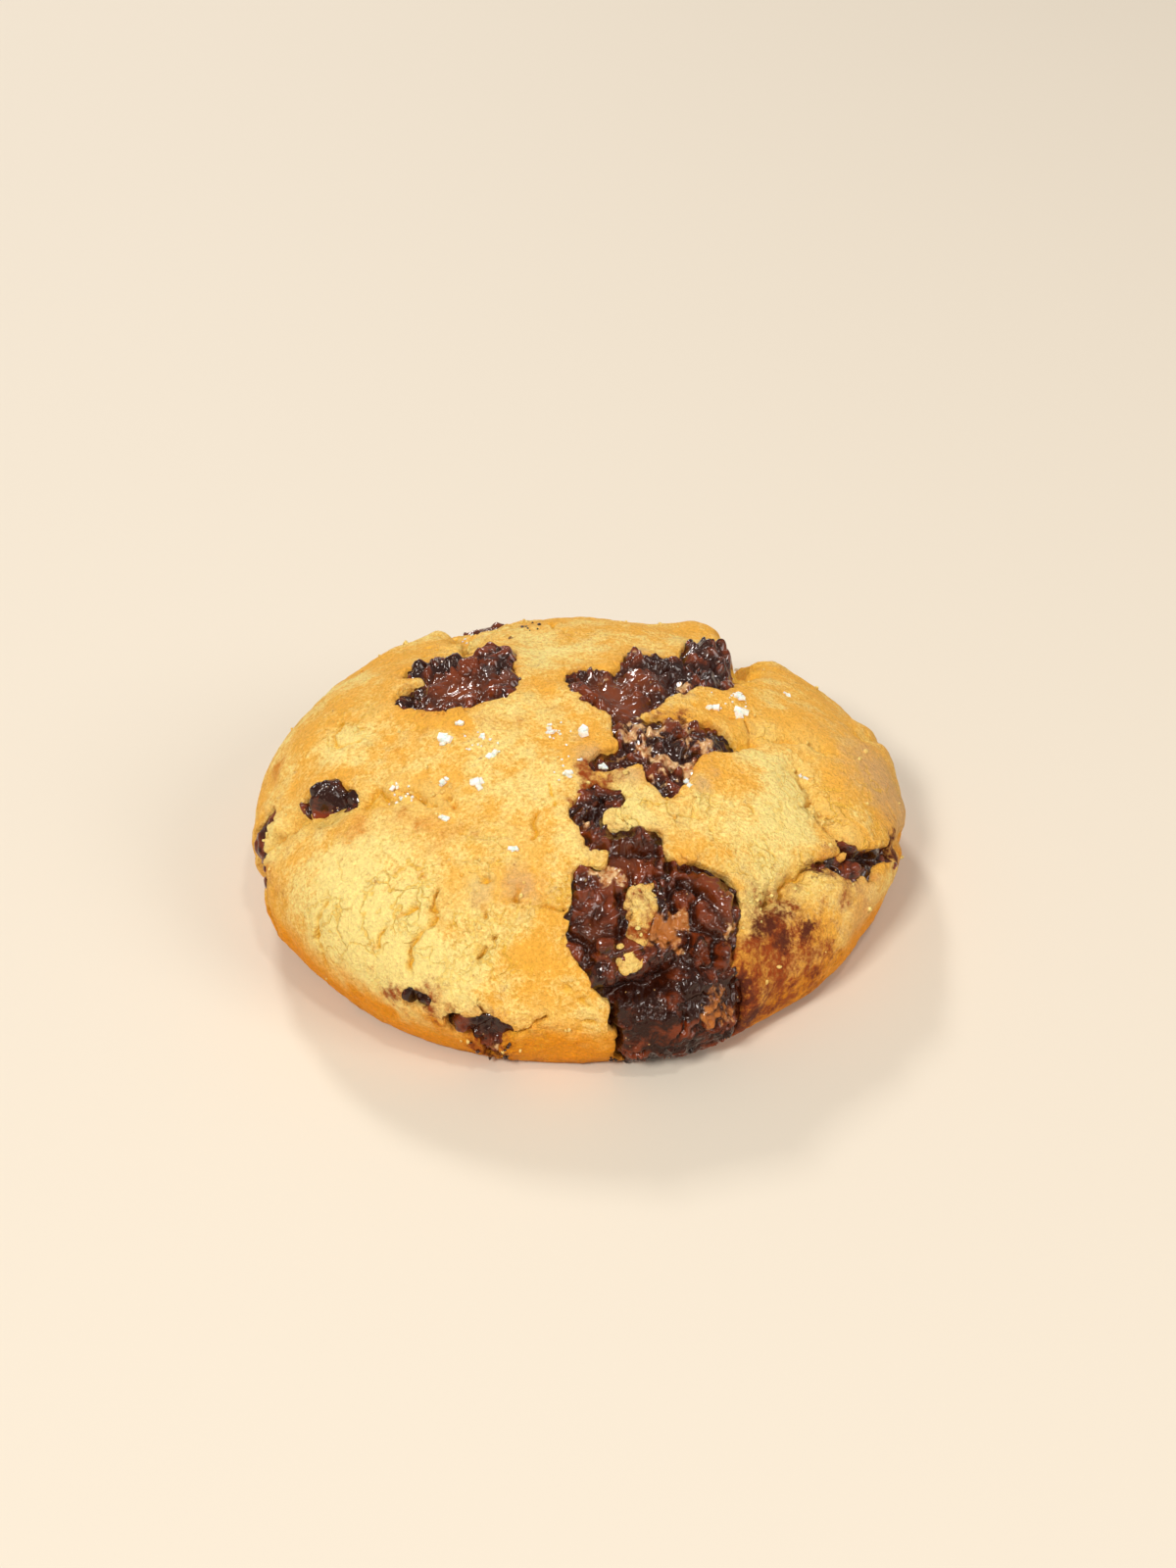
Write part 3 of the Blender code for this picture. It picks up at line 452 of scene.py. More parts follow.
# The chocolate's surface
MELT_SAG = 0.15
MELT_BURIED = 0.8
MELT_SHOULDER = 1.6
LEAST_COVER = 0.3
SWELLING_SHARE = 0.7
BIT_HEIGHT = 0.3
EDGE_DIP = 0.9
EDGE_DIP_BAND = (0.1, 0.7)
SLAB_LIFT = 0.15
MELT_CALM = 0.75
THIN_REACH = 0.45
# How strongly painted shade darkens the crinkles' hollows while their tops keep the lighter tone
CREST_SHADE_GAIN = 1.1
MELT_CRINKLES = ((2.4, 2.0, 71), (1.25, 1.2, 72), (0.7, 0.3, 73))
CRINKLE_LEVEL = 1.0
FUDGE_CRINKLES = ((1.4, 1.3, 81), (0.7, 0.7, 82))
FUDGE_LEVEL = 0.5
FUDGE_GRAIN = (0.55, 0.62, 0.56)
FUDGE_STRETCH = 0.38
MELT_SMOOTH = (
    (-15.9, 1.2, 3.2, 1.0), (-18.6, 4.6, 1.6, 0.7), (-10.2, 2.6, 1.6, 0.8), (4.1, 0.9, 3.4, 1.0),
    (7.2, 4.0, 3.0, 0.8), (5.6, -2.6, 3.2, 1.0), (16.2, -30.9, 2.0, 0.8), (5.6, -29.4, 2.2, 0.8),
    (18.4, -35.0, 1.4, 0.8), (1.6, -38.6, 1.4, 0.6), (-14.5, 40.5, 2.6, 0.8), (37.0, 33.5, 2.4, 0.8),
    (-19.6, -2.4, 1.6, 0.7),
)
DOUGH_BITS = (
    (10.6, -38.4, 2.6, 1.1), (12.6, -36.8, 1.6, 1.0), (9.2, -36.2, 1.5, 0.9), (8.4, -39.6, 1.6, 1.0),
    (12.6, -40.0, 1.4, 0.8), (17.6, -46.8, 1.8, 0.7),
    (6.4, -8.7, 1.9, 1.1), (7.8, -11.0, 1.5, 1.0), (9.6, -8.2, 1.8, 1.0), (10.4, -12.8, 1.8, 1.0),
    (13.3, -13.6, 2.0, 0.9), (12.8, -5.6, 2.0, 1.0), (15.2, -9.4, 1.6, 0.9), (0.9, -24.8, 0.9, 1.0),
    (13.4, -9.6, 1.6, 0.7), (7.4, -6.8, 1.5, 1.0), (9.6, -16.4, 1.2, 0.7), (4.6, -13.0, 1.2, 0.7),
    (19.6, -36.6, 1.1, 1.0), (2.9, -32.2, 1.8, 1.2), (18.6, -44.6, 1.8, 0.7), (20.4, -46.6, 2.0, 0.7),
    (13.2, 3.6, 1.3, 1.0), (7.8, 10.8, 1.0, 0.8), (2.8, 3.6, 1.1, 0.4), (12.4, -38.2, 1.6, 0.6),
    (18.9, -32.7, 0.8, 0.6), (-13.0, -53.6, 1.0, 0.8), (35.0, 37.0, 0.9, 0.8),
)
BROWNED = ((10.6, -38.4, 3.4, 1.0), (18.6, -46.0, 4.0, 1.0))
FUDGY = ((11.0, -50.5, 7.0, 1.0), (18.5, -49.5, 6.0, 1.0), (8.0, -55.0, 5.0, 1.0), (-13.8, -53.0, 2.5, 1.0))
MELT_GROOVES = (
    (1.5, 1.0, ((2.8, -46.6), (6.4, -45.6), (9.4, -44.8), (12.6, -41.8))),
    (1.5, 0.8, ((2.6, -47.0), (4.6, -51.0), (5.8, -57.0))),
    (1.0, 0.7, ((12.4, -29.6), (15.6, -29.0), (19.0, -30.0))),
    (0.9, 0.6, ((12.0, -31.4), (15.2, -33.0), (18.2, -36.0))),
    (1.6, 0.8, ((2.6, -19.8), (2.4, -21.6), (1.8, -23.2))),
    (0.8, 0.6, ((2.4, -28.2), (5.6, -28.6), (9.4, -27.8))),
    (1.2, 0.8, ((36.0, -19.6), (39.8, -17.6), (43.6, -14.6))),
    (0.9, 0.6, ((4.6, 6.4), (8.0, 8.2), (12.4, 7.4))),
    (0.8, 0.5, ((4.6, -34.0), (5.0, -38.0), (4.6, -41.0))),
)

# Flakes of salt that show from the front: u, v, length
FLAKES = (
    (-16.7, -10.3, 2.8), (-15.2, -7.6, 1.6), (-12.3, -10.0, 1.8), (-11.0, -13.0, 1.6),
    (-12.9, -17.6, 2.9), (-3.9, -8.6, 1.6), (0.2, -8.8, 2.6), (-1.9, -17.0, 1.9),
    (-16.9, -22.6, 1.7), (-17.4, -16.6, 1.9), (-23.5, -16.0, 1.6), (16.8, 0.2, 1.9),
    (20.4, 3.6, 2.1), (20.4, 0.2, 2.9), (27.6, 9.8, 1.5), (29.6, -8.2, 1.5),
    (13.6, -17.2, 1.8), (-8.0, -28.0, 1.8),
)
MELT_FLAKES = ((3.0, -15.2, 2.2),)
DUSTED = ((-1.4, -14.6, 3.2), (-3.4, -9.0, 1.6), (-22.5, -17.0, 2.0), (-12.6, -11.0, 2.4), (19.6, 2.0, 2.6),
          (-18.0, 36.0, 4.0), (8.0, 38.0, 4.0))
GRAINS_EACH = 12
REAR_FLAKES = 9
REAR_FLAKE_SIZES = (1.5, 2.7)
REAR_FLAKE_ANGLE = 0.5
REAR_FLAKE_INNER = 0.4
FLAKE_REACH = 50.0
FLAKE_START = 32.0
FLAKE_CLEARANCE = 2.0
FLAKE_SEED = 11
FLAKE_SHARDS = 3
SHARD_SIZES = (0.32, 0.56)
SHARD_WIDTHS = (0.28, 0.45)
SHARD_HEIGHTS = (0.16, 0.3)
SHARD_SPREAD = 0.28
SHARD_LEAN = 0.45
CRYSTAL_CHIP = 0.35
HULL_POINTS = 7
GRAIN_SIZES = (0.09, 0.22)
GRAIN_SHAPE = (1.0, 0.85, 0.7)
GRAIN_LEAN = 0.6
GRAIN_LIFT = 0.05

# Crumbs
CRUMB_SEED = 23
CRUMB_TRIES = 5200
CRUMB_REACH = 0.93
CRUMB_SIZES = (0.16, 0.42)
CRUMB_CHANCES = (0.55, 0.02)
CRUMB_CLEARANCE = 0.3
CRUMB_LIFT = 0.3
CRUMB_PALENESS = 0.6
CHOCOLATE_CRUMB_SIZES = (0.14, 0.4)
CHOCOLATE_CRUMB_REACH = 58.5
CHOCOLATE_CRUMB_CLEARANCE = 0.2
CHOCOLATE_CRUMB_LIFT = 0.2
CHOCOLATE_CRUMBS = (
    (-14.0, -54.0, 3.4, 26), (6.0, -57.5, 2.4, 14), (21.0, -50.0, 2.4, 8), (19.0, -56.5, 3.0, 10),
    (37.0, -21.0, 2.4, 12), (-7.4, 22.0, 2.6, 8), (37.0, 35.0, 6.0, 16),
)

# The camera's eye, its fall and its focal length on the 36 mm side of the picture
CAMERA_EYE = (0.79, -247.99, 182.33)
CAMERA_FALL = math.radians(34.075)
FOCAL_LENGTH = 51.75
FLOOR_SIZE = 3.0

# Lights: name, place, size, power and colour, all aimed at one point
LIGHTS = (
    ("key", (-0.48, -0.85, 0.92), 0.28, 11.6, (1.0, 0.98, 0.95)),
    ("fill", (0.95, -0.60, 0.75), 0.60, 6.0, (1.0, 0.97, 0.94)),
    ("top", (0.25, -0.40, 1.20), 0.10, 2.2, (1.0, 0.99, 0.97)),
    ("back", (-0.35, 1.00, 0.85), 0.18, 6.4, (1.0, 0.98, 0.96)),
)
LIGHT_AIM = (0.0, 0.0, 0.01)
ROOM_COLOUR = (1.0, 0.97, 0.93, 1.0)
ROOM_STRENGTH = 0.31


# Noises of the materials: scale, detail and, where they differ, roughness and distortion
DOUGH_NOISES = {
    "broad": (70.0, 3.0),
    "middling": (190.0, 4.0),
    "patchy": (430.0, 5.0, 0.65),
    "sandy": (1500.0, 4.0, 0.7),
    "grain": (2600.0, 3.0, 0.8),
    "freckled": (330.0, 2.0),
}
CHOCOLATE_NOISES = {
    "broad": (160.0, 4.0),
    "streaky": (420.0, 5.0, 0.6, 0.8),
    "fine": (1500.0, 3.0, 0.6),
    "rare": (520.0, 1.0),
    "worms": (800.0, 2.0, 0.5, 0.6),
    "ripple": (1700.0, 2.0),
}
SPECK_SCALE = 1100.0

# Nets of fine cracks: scale, raggedness, half width, then the scale and threshold of their patches
CRUST_NET = (230.0, 0.0042, 0.060, 105.0, 0.47)
CRUMB_NET = (560.0, 0.0016, 0.11, 190.0, 0.50)

# Marks with ragged edges: how far each noise swings them, then where they start and are full
RAGGED_MARKS = {
    # Greyer crust: partly real, partly painted shade on the right flank
    "tan_and_flank_shade": ({"patchy": 0.9}, 0.25, 0.95),
    "toasted": ({"patchy": 1.5, "sandy": 0.8}, 0.3, 0.95),
    # Low orange-brown band: partly real browning, partly a painted reflection of golden light from below
    "amber_and_reflection": ({"patchy": 1.3}, 0.1, 0.95),
    "smeared": ({"sandy": 1.6, "patchy": 1.5}, 0.1, 0.95),
    "stained": ({"sandy": 1.4, "patchy": 1.4}, 0.35, 0.95),
    "bits": ({"streaky": 1.6, "fine": 0.6}, 0.45, 0.8),
}


def colour_setting(name, description, default):
    """A colour among the add-on's settings."""
    return bpy.props.FloatVectorProperty(
        name=name, description=description, subtype="COLOR", size=3, default=default, min=0.0, max=1.0)


class CookieColours(bpy.types.PropertyGroup):
    """Colours of the dough, the chocolate and the salt."""

    # Also carries the painted highlight where the pale mark lies on the lit lobes
    pale_dough_and_highlight: colour_setting("Pale dough", "Colour of the palest crust", (1.0, 0.765, 0.26))
    golden_dough: colour_setting("Golden dough", "Colour of most of the crust", (0.94, 0.45, 0.052))
    toasted_dough: colour_setting("Toasted dough", "Colour of the browner patches", (0.74, 0.29, 0.030))
    # Also painted shade on the right flank, besides real greyer crust and the pale flecks in the chocolate
    tan_dough_and_flank_shade: colour_setting("Tan dough", "Colour of the greyer flank", (0.73, 0.41, 0.15))
    # Also a painted reflection of golden light low on the sides, besides real browning
    amber_dough_and_reflection: colour_setting("Amber dough", "Colour of the crust low on the sides", (0.88, 0.31, 0.003))
    underside: colour_setting("Underside", "Colour of the browned base", (0.60, 0.20, 0.014))
    # Brightened past the cracks' real yellow crumb: painted light against the shade inside the cracks
    crack_inside_and_painted_light: colour_setting("Crack", "Colour inside the cracks", (0.91, 0.50, 0.038))
    marble: colour_setting("Marble", "Colour of dough stirred into the chocolate", (0.74, 0.48, 0.23))
    dirty_crumb: colour_setting("Dirty crumb", "Colour of crumb soaked with chocolate", (0.42, 0.135, 0.024))
    smear: colour_setting("Smear", "Colour of thin chocolate smeared on the crust", (0.33, 0.055, 0.003))
    stain: colour_setting("Stain", "Colour of thick smears of chocolate on the crust", (0.110, 0.018, 0.004))
    # Also painted shade: in the chocolate's hollows and grooves and on the dough's pocket wall
    dark_chocolate_and_shade: colour_setting("Dark chocolate", "Colour of the darkest chocolate", (0.02, 0.0032, 0.001))
    chocolate: colour_setting("Chocolate", "Colour of most of the chocolate", (0.168, 0.027, 0.0050))
    smooth_chocolate: colour_setting(
        "Smooth chocolate", "Colour of the smooth melted places", (0.195, 0.038, 0.008))
    thin_chocolate: colour_setting(
        "Thin chocolate", "Colour of the thin edges of the chocolate", (0.21, 0.028, 0.004))
    salt: colour_setting("Salt", "Colour of the salt", (0.94, 0.91, 0.84))
    floor: colour_setting("Floor", "Colour of the floor", (0.74, 0.655, 0.535))


class CookieSizes(bpy.types.PropertyGroup):
    """Sizes that set how rough and how deep the cookie's details are."""

    pocket_depth: bpy.props.FloatProperty(
        name="Pocket depth", description="Depth of the dough's pockets under the chocolate",
        default=POCKET_DEPTH * MM, min=0.001, max=0.003, precision=4, unit="LENGTH")
    crack_depth: bpy.props.FloatProperty(
        name="Crack depth", description="Depth of the narrow cracks against their listed depth",
        default=1.0, min=0.0, max=3.0, subtype="FACTOR")
    crumb_height: bpy.props.FloatProperty(
        name="Crumb height", description="Height of the torn crumb against its listed height",
        default=1.0, min=0.0, max=2.0, subtype="FACTOR")
    crinkle_height: bpy.props.FloatProperty(
        name="Crinkle height", description="Height of the chocolate's crinkles against their listed height",
        default=1.0, min=0.0, max=2.0, subtype="FACTOR")


def side_curve():
    """The side view's curve: distance along it from the top, radius and height."""
    rising = np.linspace(0.0, math.pi / 2, CURVE_STEPS)
    top_r = RADIUS * np.sin(rising) ** (2 / TOP_ROUNDNESS)
    top_z = WAIST_HEIGHT + (HEIGHT - WAIST_HEIGHT) * np.cos(rising) ** (2 / TOP_ROUNDNESS)
    under_r = RADIUS * (BASE_SHARE + (1 - BASE_SHARE) * np.cos(rising[1:]) ** (2 / BOTTOM_ROUNDNESS))
    under_z = WAIST_HEIGHT * (1 - np.sin(rising[1:]) ** (2 / BOTTOM_ROUNDNESS))
    radius = np.concatenate([top_r, under_r])
    height = np.concatenate([top_z, under_z])
    steps = np.hypot(np.diff(radius), np.diff(height))
    return np.concatenate([[0.0], np.cumsum(steps)]), radius, height


CURVE_S, CURVE_R, CURVE_Z = side_curve()
CURVE_DR = np.gradient(CURVE_R, CURVE_S)
CURVE_DZ = np.gradient(CURVE_Z, CURVE_S)
CRUST_REACH = CURVE_S[-1]


def form(chart):
    """The smooth pillow's points and outward directions for chart places."""
    s = np.hypot(chart[:, 0], chart[:, 1])
    turn = np.arctan2(chart[:, 1], chart[:, 0])
    r = np.interp(s, CURVE_S, CURVE_R)
    z = np.interp(s, CURVE_S, CURVE_Z)
    out = -np.interp(s, CURVE_S, CURVE_DZ)
    up = np.maximum(np.interp(s, CURVE_S, CURVE_DR), LOWEST_SLOPE * out)
    length = np.hypot(out, up) + TINY
    wave = sum(a * np.cos(k * turn) + b * np.sin(k * turn) for k, a, b in OUTLINE_WAVES)
    r = r + wave * np.clip(r / RADIUS, 0.0, 1.0) ** 2
    x = r * np.cos(turn)
    y = r * np.sin(turn)
    z = z * (1 + (TILT_TO_BACK * y - TILT_TO_LEFT * x) / HEIGHT)
    points = np.stack([x, y, z], axis=1)
    normals = np.stack([out * np.cos(turn), out * np.sin(turn), up], axis=1) / length[:, None]
    return points, normals


def lattice_value(cells, seed):
    """A repeatable number from -1 to 1 for each lattice cell."""
    mixed = sum(cells[:, axis] * LATTICE_FACTORS[axis] for axis in range(3)) + seed * LATTICE_FACTORS[3]
    mixed = mixed & WORD
    mixed = ((mixed ^ (mixed >> 13)) * LATTICE_MIXERS[0]) & WORD
    mixed = ((mixed ^ (mixed >> 15)) * LATTICE_MIXERS[1]) & WORD
    return (mixed ^ (mixed >> 16)) / (WORD / 2) - 1.0


def smooth_noise(points, cell, seed):
    """Smooth unevenness from about -1 to 1, with swells about one cell wide."""
    scaled = points / cell
    corner = np.floor(scaled).astype(np.int64)
    part = scaled - corner
    ease = part * part * (3 - 2 * part)
    total = np.zeros(len(points))
    for step in np.ndindex(2, 2, 2):
        step = np.array(step)
        weight = np.prod(np.where(step == 1, ease, 1 - ease), axis=1)
        total += weight * lattice_value(corner + step, seed)
    return total


def layers(points, table):
    """Several smooth noises added up."""
    return sum(height * smooth_noise(points, cell, seed) for cell, height, seed in table)


def billows(points, table):
    """Rounded bulges that meet in sharp valleys, from 0 up."""
    total = np.zeros(len(points))
    shifted = points
    for cell, height, seed in table:
        total += height * np.abs(smooth_noise(shifted, cell, seed))
        shifted = points + 0.5 * cell * np.abs(smooth_noise(points, cell, seed + 7))[:, None]
    return total


def stretched(points, direction, share):
    """Squeezes places along one direction, so that a pattern laid on them runs along it."""
    axis = np.array(direction) / np.linalg.norm(direction)
    return points - np.outer(points @ axis, axis) * (1 - share)


def pebbles(points, cell, seed):
    """Rounded grains packed side by side, from 0 between them to 1 on them."""
    scaled = points / cell
    corner = np.floor(scaled).astype(np.int64)
    nearest = np.full(len(points), FAR)
    for step in np.ndindex(3, 3, 3):
        home = corner + np.array(step) - 1
        shift = np.stack([lattice_value(home, seed + axis) for axis in range(3)], axis=1)
        away = np.linalg.norm(home + 0.5 + PEBBLE_JITTER * shift - scaled, axis=1)
        nearest = np.minimum(nearest, away)
    return np.clip(1.0 - nearest * nearest * PEBBLE_SHARPNESS, 0.0, 1.0)


def smooth_step(value, low, high):
    """Eases from 0 at the low value to 1 at the high one."""
    share = np.clip((value - low) / (high - low), 0.0, 1.0)
    return share * share * (3 - 2 * share)


def along(points, start, end):
    """Share of the way along a line, from 0 to 1, and distance from it."""
    axis = end - start
    share = np.clip((points - start) @ axis / (axis @ axis + TINY), 0.0, 1.0)
    return share, np.linalg.norm(points - (start + share[:, None] * axis), axis=1)


def capsule(points, start, end, start_radius, end_radius):
    """Distance to a rounded stroke whose radius changes along it."""
    share, away = along(points, start, end)
    return away - (start_radius + share * (end_radius - start_radius))


def soft_min(a, b):
    """The smaller of two distances, rounded off where they meet."""
    share = np.clip(0.5 + 0.5 * (b - a) / BLEND, 0.0, 1.0)
    return b + share * (a - b) - BLEND * share * (1 - share)


def strokes_field(points, strokes):
    """Distance to the strokes' joined outline, negative inside it."""
    field = None
    for stroke in strokes:
        centres = form(np.array([lobe[:2] for lobe in stroke]))[0]
        for i in range(len(stroke) - 1):
            part = capsule(points, centres[i], centres[i + 1], stroke[i][2], stroke[i + 1][2])
            field = part if field is None else soft_min(field, part)
    return field


def pool_field(points, pool, rags=None):
    """Distance to a pool's ragged edge, negative in the chocolate."""
    field = strokes_field(points, pool["strokes"])
    if "isles" in pool:
        field = np.maximum(field, -strokes_field(wander(points, ISLE_RAGS), pool["isles"]))
    if rags is None:
        rags = layers(points, EDGE_RAGS)
    return field + pool.get("rag", 1.0) * rags


def nearest_pool(points):
    """Distance to the nearest pool's ragged edge, negative in the chocolate."""
    rags = layers(points, EDGE_RAGS)
    nearest = np.full(len(points), np.inf)
    for pool in POOLS.values():
        nearest = np.minimum(nearest, pool_field(points, pool, rags))
    return nearest


def round_mark(points, u, v, reach):
    """How near points are to a chart place, from 0 far away to 1 on it."""
    centre = form(np.array([[u, v]]))[0][0]
    away = np.linalg.norm(points - centre, axis=1)
    return np.exp(-((away / reach) ** 2))


def bumps(points, table):
    """Round swellings or marks: u, v, reach, height."""
    total = np.zeros(len(points))
    for u, v, reach, height in table:
        total += height * round_mark(points, u, v, reach)
    return total


def strongest(points, table):
    """Round marks that don't add up where they overlap."""
    total = np.zeros(len(points))
    for u, v, reach, height in table:
        total = np.maximum(total, height * round_mark(points, u, v, reach))
    return total


def shares(points, table):
    """Round marks that don't add up, held between 0 and 1."""
    return np.clip(strongest(points, table), 0.0, 1.0)


def valleys(points, table):
    """Depths along the listed lines, and how near each point is to one, from 0 to 1."""
    deepest = np.zeros(len(points))
    nearness = np.zeros(len(points))
    for depth, width, places in table:
        centres = form(np.array(places))[0]
        for start, end in zip(centres, centres[1:]):
            near = np.exp(-((capsule(points, start, end, 0.0, 0.0) / width) ** 2))
            deepest = np.maximum(deepest, depth * near)
            nearness = np.maximum(nearness, near)
    return deepest, nearness


def rear_cracks():
    """Wandering cracks on the side away from the camera, drawn by chance."""
    draw = np.random.default_rng(REAR_CRACK_SEED)
    cracks = []
    for _ in range(REAR_CRACKS):
        bearing = draw.uniform(-REAR_SPARE_ANGLE, math.pi + REAR_SPARE_ANGLE)
        reach = draw.uniform(*REAR_CRACK_REACH)
        place = np.array([reach * math.cos(bearing), reach * math.sin(bearing)])
        heading = draw.uniform(0.0, 2 * math.pi)
        places = [tuple(place)]
        for _ in range(draw.integers(*REAR_CRACK_STEPS)):
            heading += draw.normal(0.0, REAR_CRACK_TURN)
            place = place + draw.uniform(*REAR_CRACK_STEP) * np.array([math.cos(heading), math.sin(heading)])
            places.append(tuple(place))
        cracks.append((draw.uniform(*REAR_CRACK_DEPTHS), draw.uniform(*REAR_CRACK_WIDTHS), tuple(places)))
    return tuple(cracks)


ALL_CRACKS = CRACKS + rear_cracks()


def crack_distance(points):
    """Distance to the nearest of the narrow cracks."""
    ragged = wander(points, CRACK_RAGS)
    nearest = np.full(len(points), FAR)
    for _, _, places in ALL_CRACKS:
        centres = form(np.array(places))[0]
        for start, end in zip(centres, centres[1:]):
            nearest = np.minimum(nearest, capsule(ragged, start, end, 0.0, 0.0))
    return nearest


def folds(points):
    """Depths of the folds, added where two of them meet."""
    total = np.zeros(len(points))
    for fold in FOLDS:
        centres = form(np.array([place[:2] for place in fold]))[0]
        deepest = np.zeros(len(points))
        for i in range(len(fold) - 1):
            share, away = along(points, centres[i], centres[i + 1])
            depth = fold[i][2] + share * (fold[i + 1][2] - fold[i][2])
            width = fold[i][3] + share * (fold[i + 1][3] - fold[i][3])
            deepest = np.maximum(deepest, depth * np.exp(-((away / width) ** 2)))
        total += deepest
    return total


def wander(points, table):
    """Shifts points by small uneven steps, so that a line drawn through them turns ragged."""
    shifts = []
    for axis in range(3):
        moved = [(cell, height, seed + axis) for cell, height, seed in table]
        shifts.append(layers(points, moved))
    return points + np.stack(shifts, axis=1)


def rim_slope(points):
    """Direction in which the distance to the chocolate grows."""
    here = nearest_pool(points)
    slope = []
    for axis in np.eye(3):
        slope.append(nearest_pool(points + PROBE * 4 * axis) - here)
    slope = np.stack(slope, axis=1)
    return slope / (np.linalg.norm(slope, axis=1) + TINY)[:, None]


def crust_surface(chart, sizes):
    """The crust's points for chart places, with the marks that its colours follow."""
    points, normals = form(chart)
    edge = nearest_pool(points)
    ragged = wander(points, CRACK_RAGS)
    fold_depth = folds(ragged)
    crack_depth, crack_near = valleys(ragged, ALL_CRACKS)
    torn = np.clip(strongest(points, TORN) * (1 + layers(points, (TORN_RAG,))), 0.0, 1.2)
    crumb = sum(height * (pebbles(points, cell, seed) - 0.5) for cell, height, seed in CRUMB_CELLS)
    uneven = bumps(points, SWELLINGS) + layers(points, LUMP_CELLS)
    uneven += RIM_RISE * np.exp(-(((edge - RIM_PLACE) / RIM_WIDTH) ** 2))
    fine = layers(points, GRAIN_CELLS) - sizes.crack_depth * crack_depth
    fine += sizes.crumb_height * crumb * torn
    near_base = np.clip(points[:, 2] / BROAD_FADE, 0.0, 1.0)
    height = uneven * near_base + fine * np.clip(points[:, 2] / FINE_FADE, 0.0, 1.0)
    pocket = smooth_step(-edge, 0.0, POCKET_WALL)
    height = height * (1 - pocket) - sizes.pocket_depth / MM * pocket - fold_depth * near_base
    placed = points + normals * height[:, None]
    placed += rim_lean(points, edge)
    marks = crust_marks(points, edge, torn, np.maximum(crack_near, 0.3 * np.clip(fold_depth, 0.0, 1.5)))
    return placed, normals, marks


def rim_lean(points, edge):
    """Shifts the dough's rim sideways over the chocolate."""
    shift = np.zeros_like(points)
    near = np.abs(edge) < RIM_SPREAD
    if not near.any():
        return shift
    lean = RIM_LEAN + strongest(points[near], LEANING_RIM)
    share = smooth_step(edge[near], *RIM_START) * (1 - smooth_step(edge[near], *RIM_END))
    shift[near] = -rim_slope(points[near]) * (lean * share)[:, None]
    return shift


def crust_marks(points, edge, torn, crack):
    """The marks that the crust's colours follow."""
    blotchy = wander(points, BLOTCH_RAGS)
    low = points[:, 2] + layers(points, LOW_RAGS)
    return {
        # Partly real pale mottling, partly a painted highlight on the lit front-left lobes
        "pale": bumps(points, PALE_AND_HIGHLIGHT),
        "toasted": strongest(blotchy, TOASTED),
        # Partly real browning, partly a painted reflection of golden light from below
        "amber_and_reflection": 1 - smooth_step(low, *AMBER_AND_REFLECTION_BAND),
        # Partly real greyer crust, partly painted shade on the right flank
        "tan_and_flank_shade": strongest(points, TAN_AND_FLANK_SHADE),
        "smeared": strongest(blotchy, SMEARED),
        "stained": strongest(wander(points, BLOTCH_RAGS[1:]), STAINED),
        "glow": np.exp(-np.clip(edge, 0.0, None) / GLOW_REACH),
        # Dark pocket wall: partly chocolate on it, partly painted shade in the recess under the rim
        "pocket": 1 - smooth_step(edge, *POCKET_SHADE_BAND),
        "torn": np.clip(torn, 0.0, 1.0),
        "crumbly": np.clip(strongest(points, CRUMBLY) + 0.5 * torn, 0.0, 1.0),
        "crack": crack,
        "under": 1 - smooth_step(low, *UNDER_BAND),
    }


def deselect_all():
    if bpy.context.object and bpy.context.object.mode != "OBJECT":
        bpy.ops.object.mode_set(mode="OBJECT")
    bpy.ops.object.select_all(action="DESELECT")


def read_points(mesh):
    flat = np.empty(len(mesh.vertices) * 3)
    mesh.vertices.foreach_get("co", flat)
    return flat.reshape(-1, 3)


def write_points(mesh, points):
    mesh.vertices.foreach_set("co", np.asarray(points, dtype=float).ravel())
    mesh.update()


def lay_flat(mesh, chart):
    """Puts a mesh's vertices at their chart places, at height nought."""
    write_points(mesh, np.column_stack([chart, np.zeros(len(chart))]))


def hold_inside(points):
    """Keeps points, in metres, inside the solids' box."""
    return np.clip(points, np.array(CAD_LOW), np.array(CAD_HIGH))


def write_marks(mesh, marks):
    """Keeps each mark on the mesh as a number per vertex."""
    for name, values in marks.items():
        layer = mesh.attributes.new(name, "FLOAT", "POINT")
        layer.data.foreach_set("value", np.asarray(values, dtype=float))


def square_to_disc(square):
    """Turns a square grid from -1 to 1 into chart places that reach the base's edge."""
    a = square[:, 0]
    b = square[:, 1]
    wide = np.abs(a) >= np.abs(b)
    ring = np.maximum(np.abs(a), np.abs(b))
    safe_a = np.where(np.abs(a) < TINY, 1.0, a)
    safe_b = np.where(np.abs(b) < TINY, 1.0, b)
    across = (math.pi / 4) * b / safe_a + np.where(a < 0, math.pi, 0.0)
    along = math.pi / 2 - (math.pi / 4) * a / safe_b + np.where(b < 0, math.pi, 0.0)
    turn = np.where(wide, across, along)
    return np.stack([np.cos(turn), np.sin(turn)], axis=1) * (ring * CRUST_REACH)[:, None]


def choose_faces(item, chosen):
    """Selects only the chosen faces of a mesh and leaves it in edit mode."""
    bpy.ops.object.mode_set(mode="EDIT")
    bpy.ops.mesh.select_mode(type="FACE")
    bpy.ops.object.mode_set(mode="OBJECT")
    mesh = item.data
    mesh.vertices.foreach_set("select", np.zeros(len(mesh.vertices), dtype=bool))
    mesh.edges.foreach_set("select", np.zeros(len(mesh.edges), dtype=bool))
    mesh.polygons.foreach_set("select", chosen)
    bpy.ops.object.mode_set(mode="EDIT")


